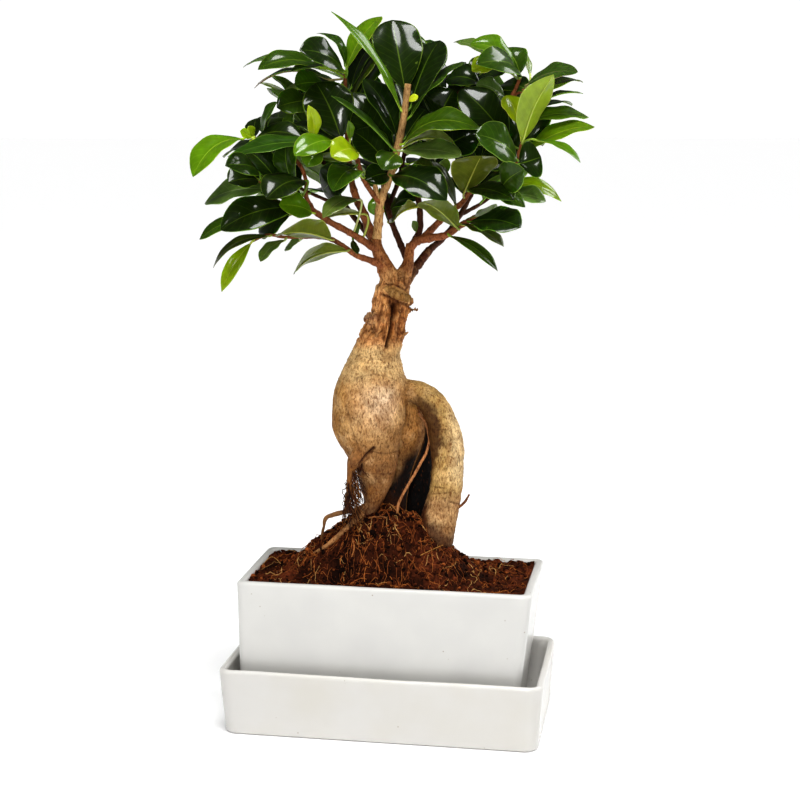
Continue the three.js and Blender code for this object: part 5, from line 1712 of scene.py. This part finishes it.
STEMS = (
    LeafyStem("leader", 0, bark="#b08a5a", depth_limit=2, wood=((
        (376, 243, 0, 2.6), (378, 226, 1, 2.5), (380, 206, 3, 2.3), (383, 194, 4, 2.2), (391, 174, 6, 2),
        (397, 150, 8, 2.1), (403.5, 119, 10, 1.9), (408, 84, 12, 1.75),
    ), (
        (379.5, 206, 3, 1.5), (376, 192, 6, 1.4), (375, 182, 7, 1.1),
    )), rosettes=((0, 0.55, 0.97, 9),), tones="DDFDMDDMPODDDFPMB", leaves=(
        (405, 90, 392, 20, -24, 27, 12, 0.05), (411, 106, 438, 38, -20, 25, 38, 0.06),
        (401, 110, 335, 9, 6, 13, 70, 0.04), (397, 137, 365, 78, -12, 22, 48, 0.08),
        (394, 150, 330, 97, 12, 18, 83, 0.05), (391, 160, 348, 92, -16, 24, 25, 0.08),
        (388, 166, 354, 131, 6, 20, 32, 0.1), (404, 144, 480, 129, 14, 22, 62, 0.24),
        (402, 151, 462, 156, 20, 17, 56, 0.06), (402, 148, 457, 149, 4, 19, 112, 0.2),
        (405, 138, 426, 108, -6, 21, 12, 0.08), (392, 176, 446, 198, 30, 22, 42, 0.12),
        (390, 174, 365, 180, 12, 13, 28, 0.12), (376, 195, 376, 216, 6, 9, 12, 0.1),
        (376, 189, 363, 181, 3, 7, 55, 0.1), (396, 154, 383, 170, 14, 15, 22, 0.12),
        (408, 101, 418, 96, 2, 4, 20, 0),
    )),
    LeafyStem("upperLeft", 1, depth_limit=4, wood=((
        (374, 242, -1, 2.4), (368, 226, -1, 2.5), (363, 212, -1, 2.4), (356, 197, -2, 2),
        (351, 178, -5, 1.7), (348, 150, -9, 1.4), (346, 112, -11, 1.2), (345, 72, -12, 1),
    ), (
        (346.5, 104, -11, 1), (332, 94, -9, 0.9), (318, 92, -7, 0.8),
    )), rosettes=((0, 0.45, 1, 10),), tones="FMDRMPMRPMM", leaves=(
        (347, 68, 380, 15, -10, 20, 58, 0.06), (345, 66, 318, 32, -6, 13, 70, 0.22),
        (343, 70, 301, 49, 22, 20, 52, 0.1), (337, 71, 300, 53, -12, 14, 96, 0.06),
        (320, 68, 258, 69, 18, 17, 58, 0.16), (305, 66, 243, 66, -22, 13, 72, 0.12),
        (344, 73, 291, 70, 20, 16, 80, 0.1), (330, 80, 254, 84, -14, 16, 80, 0.14),
        (318, 92, 279, 95, -18, 11, 66, 0.14), (324, 84, 295, 85, 12, 16, 36, 0.08),
        (312, 101, 277, 107, 10, 18, 40, 0.1),
    )),
    LeafyStem("leftShoulder", 2, depth_limit=-3, wood=((
        (380, 203, 4, 1.4), (370, 190, 8, 1.4), (362, 176, 11, 1.3), (356, 157, 15, 1.2), (345, 149, 17, 1),
        (328, 147, 18, 0.9), (313, 143, 18, 0.8),
    ),), rosettes=((0, 0.3, 0.8, 6),), tones="DYFYMFFMD", leaves=(
        (341, 139, 316, 82, -20, 27, 14, 0.08), (357, 153, 331, 157, 18, 16, 38, 0.2),
        (350, 139, 349, 121, 8, 5, 38, 0.1), (312, 141, 308, 105, 10, 9, 40, 0.1),
        (318, 144, 228, 158, 4, 15, 60, 0.08), (332, 141, 294, 156, 22, 15, 40, 0.14),
        (320, 150, 307, 166, 10, 12, 24, 0.1), (363, 178, 333, 189, 22, 19, 62, 0.3),
        (356, 166, 322, 191, 4, 20, 26, 0.12),
    )),
    LeafyStem("leftMiddle", 3, depth_limit=12, wood=((
        (377, 250, 1, 2.2), (365, 242, 3, 2), (347, 231, 7, 1.8), (330, 222, 11, 1.7), (314, 211, 15, 1.5),
        (300, 201, 18, 1.2), (284, 192, 20, 1.1), (268, 186, 22, 1), (259, 180, 23, 0.9),
    ), (
        (314, 211, 15, 1.2), (301, 212, 18, 1), (290, 214, 19, 0.8),
    )), rosettes=((0, 0.55, 1, 7),), tones="PDDMFDOPDDYPD", leaves=(
        (268, 190, 205, 204, -14, 21, 60, 0.1), (305, 181, 267, 198, 24, 22, 52, 0.12),
        (294, 208, 221, 227, 16, 24, 48, 0.1), (244, 219, 200, 240, -4, 12, 58, 0.1),
        (312, 213, 279, 205, 14, 15, 40, 0.14), (290, 215, 259, 232, -10, 17, 40, 0.08),
        (362, 214, 324, 218, -22, 20, 108, 0.06), (359, 200, 323, 217, -8, 13, 60, 0.12),
        (258, 180, 228, 183, 14, 17, 52, 0.1), (258, 172, 225, 166, 10, 15, 52, 0.1),
        (257, 179, 237, 172, 8, 8, 56, 0.1), (356, 238, 359, 223, -2, 4, 40, 0),
        (353, 240, 357, 254, 4, 5, 40, 0),
    )),
    LeafyStem("farLeft", 4, depth_limit=0, wood=((
        (312, 208, 15, 1.3), (306, 196, 9, 1.2), (306, 181, 5, 1.1), (299, 164, 2, 1.1), (282, 150, 1, 1),
        (264, 142, 3, 0.9), (254, 138, 5, 0.8),
    ),), rosettes=((0, 0.45, 1, 7),), tones="FYYYDMDDD", leaves=(
        (243, 139, 193, 177, 20, 20, 52, 0.2), (252, 138, 240, 131, 4, 6, 40, 0),
        (253, 137, 249, 126, 3, 6, 40, 0), (253, 139, 252, 147, 5, 5, 40, 0),
        (255, 137, 256, 118, -8, 11, 24, 0.1), (262, 136, 277, 102, -6, 13, 68, 0.1),
        (266, 137, 274, 117, -10, 15, 14, 0.1), (255, 139, 302, 137, 12, 16, 52, 0.12),
        (262, 148, 224, 157, -6, 14, 70, 0.1),
    )),
    LeafyStem("lowerLeft", 5, wood=((
        (386, 268, 2, 2), (372, 261, 4, 1.8), (358, 256, 7, 1.6), (347, 249, 10, 1.5), (333, 240, 14, 1.3),
        (318, 237, 16, 1.1), (300, 237, 17, 1), (284, 237, 18, 0.9), (268, 235, 19, 0.8),
        (252, 241, 20, 0.8),
    ),), tones="OOPOYP", leaves=(
        (331, 240, 280, 235, 30, 25, 122, 0.08), (347, 251, 293, 273, 22, 21, 116, 0.14),
        (285, 240, 260, 261, 8, 11, 60, 0.1), (270, 236, 212, 266, -8, 9, 62, 0.16),
        (251, 243, 221, 291, 12, 9, 30, 0.08), (300, 240, 284, 250, -10, 7, 60, 0),
    )),
    LeafyStem("lowerRight", 6, wood=((
        (411, 247, -4, 2.4), (417, 241, -3, 2.3), (430, 238, 0, 2.2), (446, 235, 3, 1.9),
        (460, 226, 6, 1.6), (470, 220, 8, 1.4), (480, 214, 9, 1.1),
    ),), tones="DOMDO", leaves=(
        (470, 222, 521, 228, 26, 22, 56, 0.06), (460, 224, 504, 245, 18, 14, 72, 0.08),
        (450, 236, 498, 270, 22, 10, 58, 0.08), (464, 221, 496, 203, 14, 17, 112, -0.14),
        (458, 229, 422, 199, 24, 18, 136, 0.06),
    )),
    LeafyStem("middleRight", 7, depth_limit=0, wood=((
        (417, 243, -6, 1.9), (429, 232, -6, 1.9), (441, 220, -4, 1.7), (452, 210, -1, 1.6),
        (462, 203, 2, 1.5), (472, 190, 5, 1.3), (488, 187, 7, 1.2), (503, 187, 9, 1.1),
    ),), rosettes=((0, 0.6, 1, 6),), tones="OMYPMDO", leaves=(
        (464, 193, 481, 155, 30, 25, 154, 0.06), (503, 186, 524, 169, 20, 17, 22, 0.1),
        (501, 186, 561, 202, 14, 11, 50, 0.18), (508, 196, 546, 200, 4, 14, 54, 0.08),
        (484, 194, 525, 207, 16, 13, 58, 0.1), (468, 190, 514, 200, 24, 19, 62, 0.1),
        (456, 206, 431, 160, 6, 13, 64, 0.06),
    )),
    LeafyStem("farRight", 8, depth_limit=-2, wood=((
        (500, 188, 9, 1.1), (507, 178, 8, 1.1), (514, 166, 9, 1.1), (519, 153, 9, 1), (522, 142, 9, 0.9),
    ),), rosettes=((0, 0.3, 1, 5),), tones="YYFFFMMMMDDD", leaves=(
        (523, 141, 554, 75, 10, 22, 136, 0.06), (518, 124, 507, 95, -6, 17, 40, 0.1),
        (528, 150, 594, 124, -10, 17, 62, 0.08), (536, 140, 581, 160, -16, 10, 70, 0.08),
        (530, 120, 589, 117, -18, 15, 62, 0.08), (534, 112, 572, 104, -24, 10, 76, 0.08),
        (535, 106, 583, 93, -16, 9, 80, 0.1), (536, 98, 583, 80, -14, 13, 66, 0.1),
        (517, 160, 476, 134, 28, 23, 46, 0.12), (519, 164, 541, 157, 24, 21, 18, 0.08),
        (508, 141, 461, 88, -4, 25, 36, 0.08), (514, 166, 484, 152, 10, 22, 22, 0.06),
    )),
    LeafyStem("upperRight", 9, depth_limit=-4, wood=((
        (470, 193, 4, 1.3), (478, 178, -4, 1.3), (486, 155, -10, 1.2), (497, 130, -13, 1.2),
        (507, 105, -13, 1.1), (515, 90, -12, 1), (520, 78, -11, 0.9),
    ), (
        (511, 97, -13, 0.9), (520, 92, -13, 0.8), (529, 88, -12, 0.8),
    )), rosettes=((0, 0.35, 1, 9),), tones="PFMYMPRMPP", leaves=(
        (484, 54, 454, 41, -14, 12, 60, 0.08), (515, 70, 472, 42, 8, 19, 58, 0.16),
        (520, 74, 504, 48, -10, 19, 34, 0.14), (503, 61, 472, 71, -10, 13, 42, 0.12),
        (518, 77, 476, 64, 16, 19, 52, 0.14), (530, 74, 523, 50, -18, 8, 50, 0),
        (527, 85, 578, 72, 12, 17, 64, 0.12), (530, 92, 497, 86, 8, 17, 54, 0.08),
        (505, 98, 476, 84, 12, 13, 46, 0.1), (504, 105, 491, 101, 4, 7, 40, 0),
    )),
    LeafyStem("centre", 10, bark="#4a2818", depth_limit=-2, wood=((
        (413, 244, -7, 2), (419, 232, -9, 1.9), (420, 212, -11, 1.7), (418, 190, -13, 1.5),
        (424, 165, -14, 1.4), (432, 140, -13, 1.3), (440, 120, -13, 1.2), (452, 100, -13, 1),
        (464, 88, -14, 0.9),
    ),), rosettes=((0, 0.42, 1, 11),), tones="DDDODPOD", leaves=(
        (438, 120, 453, 90, 6, 26, 18, 0.06), (480, 84, 446, 80, 20, 22, 56, 0.16),
        (474, 76, 446, 68, -14, 15, 66, 0.1), (417, 207, 393, 221, 14, 19, 106, 0.1),
        (418, 200, 394, 206, -10, 17, 62, 0.16), (417, 232, 413, 221, 3, 5, 40, 0),
        (436, 180, 417, 161, 6, 14, 32, 0.08), (434, 156, 479, 130, -2, 24, 30, 0.08),
    )),
    LeafyStem("rearUp", 11, bark="#4a2a1a", depth_limit=-14, wood=((
        (407, 259, -5, 1.9), (400, 243, -9, 1.8), (391, 220, -14, 1.6), (386, 198, -21, 1.5),
        (380, 170, -28, 1.3), (372, 140, -33, 1.2), (366, 105, -36, 1),
    ),), rosettes=((0, 0.42, 1, 14),), tones="O", leaves=(
        (388, 222, 384, 190, -6, 15, 42, 0.1),
    )),
    LeafyStem("rearTop", 12, bark="#4a2a1a", depth_limit=-20, wood=((
        (388, 207, -18, 1.4), (398, 182, -36, 1.3), (405, 150, -46, 1.2), (410, 115, -50, 1.1),
        (412, 80, -50, 0.9),
    ),), rosettes=((0, 0.3, 1, 14),)),
    LeafyStem("rearRight", 13, bark="#4a2a1a", depth_limit=-20, wood=((
        (428, 251, -18, 1.9), (445, 236, -28, 1.7), (460, 215, -38, 1.5), (474, 188, -45, 1.3),
        (486, 155, -49, 1.2), (492, 118, -50, 1),
    ), (
        (460, 215, -38, 1.2), (482, 203, -48, 1), (502, 188, -52, 0.9),
    )), rosettes=((0, 0.4, 1, 12), (1, 0.3, 1, 6))),
    LeafyStem("rearLeft", 14, bark="#4a2a1a", depth_limit=-20, wood=((
        (379, 248, -3, 1.8), (366, 232, -14, 1.7), (350, 212, -27, 1.5), (335, 188, -38, 1.3),
        (322, 158, -44, 1.2), (315, 122, -46, 1),
    ), (
        (350, 212, -27, 1.2), (326, 200, -36, 1), (300, 188, -40, 0.8), (278, 172, -42, 0.8),
    )), rosettes=((0, 0.4, 1, 12), (1, 0.3, 1, 7))),
)  # fmt: skip


# ------------------------------------------------------------------ studio


@dataclass(frozen=True)
class Softbox:
    """A lit square of cloth that points at a spot over the frame's origin."""

    name: str
    place: tuple[float, float, float]  # m
    aim: float  # how many m above the frame's origin it points
    size: float
    power: float

    def build(self) -> None:
        """Hangs the light."""
        light = bpy.data.lights.new(self.name, "AREA")
        light.size, light.energy = self.size, self.power
        made = stand(self.name, light)
        made.location = self.place
        line = Vector((0.0, 0.0, self.aim)) - Vector(self.place)
        made.rotation_euler = line.to_track_quat("-Z", "Y").to_euler()


@dataclass(frozen=True)
class Studio:
    """A white sweep of paper under soft light from above, in front of a glowing white wall."""

    floor_radius: float = 12.0  # m
    floor_z: float = -0.0002
    sun_energy: float = 6.2
    sun_softness: float = 26.0  # degrees
    sun_tilt: Span = (13.0, 5.0)  # degrees towards the front and towards the right
    wall_light: float = 1.95
    ceiling_light: float = 0.16
    wall_edge: Span = (0.06, 0.2)  # the rise of the line of sight over which the wall ends
    exposure: float = -1.15  # stops
    look: str = "Medium High Contrast"
    boxes: tuple[Softbox, ...] = (
        Softbox("key_box", (-0.5, -0.75, 1.15), 0.25, 0.24, 3.2),
        Softbox("rim_box", (0.85, 0.75, 0.95), 0.24, 0.5, 11.0),
        Softbox("side_box", (1.25, -0.1, 0.5), 0.1, 0.6, 4.0),
        Softbox("front_box", (0.086, -0.97, 0.42), 0.12, 0.16, 5.5),
    )

    def build(self) -> None:
        """Lays the paper, lights the wall and hangs the lamps."""
        self.lay_paper()
        self.light_wall()
        sun = bpy.data.lights.new("overhead_cloth", "SUN")
        sun.energy, sun.angle = self.sun_energy, math.radians(self.sun_softness)
        lamp = stand("overhead_cloth", sun)
        lamp.rotation_euler = (*(math.radians(turn) for turn in self.sun_tilt), 0.0)
        for box in self.boxes:
            box.build()
        shown = bpy.context.scene.view_settings
        shown.view_transform, shown.look, shown.exposure = "Standard", self.look, self.exposure

    def lay_paper(self) -> None:
        """Makes the floor as one large disc."""
        turns = np.linspace(0, math.tau, 96, endpoint=False)
        ring = np.stack([np.cos(turns), np.sin(turns), 0 * turns], axis=-1) * self.floor_radius / MM
        ring[:, 2] = self.floor_z / MM
        patch = Patchwork()
        patch.add(ring, [list(range(96))])
        patch.piece("paper_floor", StudioPaper().build())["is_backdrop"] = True

    def light_wall(self) -> None:
        """Makes the surroundings white at eye level and dimmer above."""
        world = bpy.data.worlds.new("studio")
        world.use_nodes = True
        tree = world.node_tree
        tree.nodes.clear()
        direction = add_node(tree, "TexCoord").outputs["Generated"]
        height = add_node(tree, "SeparateXYZ", [direction]).outputs["Z"]
        levels = [height, *self.wall_edge, self.wall_light, self.ceiling_light]
        strength = add_node(tree, "MapRange", levels, interpolation_type="SMOOTHSTEP")
        background = add_node(tree, "Background", [(1.0, 1.0, 1.0, 1.0), strength])
        add_node(tree, "OutputWorld", [background])
        bpy.context.scene.world = world


# ------------------------------------------------------------------ the whole


def write_size() -> None:
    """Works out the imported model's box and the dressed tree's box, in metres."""
    boxes = {"packed": PACKED_BOX, "dressed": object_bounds()}
    sizes = {name: [[float(value) for value in corner] for corner in box] for name, box in boxes.items()}


def main() -> None:
    """Builds the bonsai, its pot and the studio."""
    logging.basicConfig(level=logging.INFO, format="%(message)s")
    VIEW.make_camera()
    Studio().build()
    Saucer().build()
    pot = Pot()
    pot.build()
    soil = SoilHeap(pot)
    soil.build()
    trunk = Trunk(TRUNK_LIMBS, BARK_STROKES, ROOT_WASHES, ARCH_WASHES)
    trunk.build(soil)
    FineRoots(THIN_ROOTS, SOIL_STRANDS).build(trunk, soil)
    skin, bark = LeafSkin().build(), FicusBark("twig_bark").build()
    for stem in STEMS:
        stem.build(skin, bark)
    write_size()


if __name__ == "__main__":
    main()
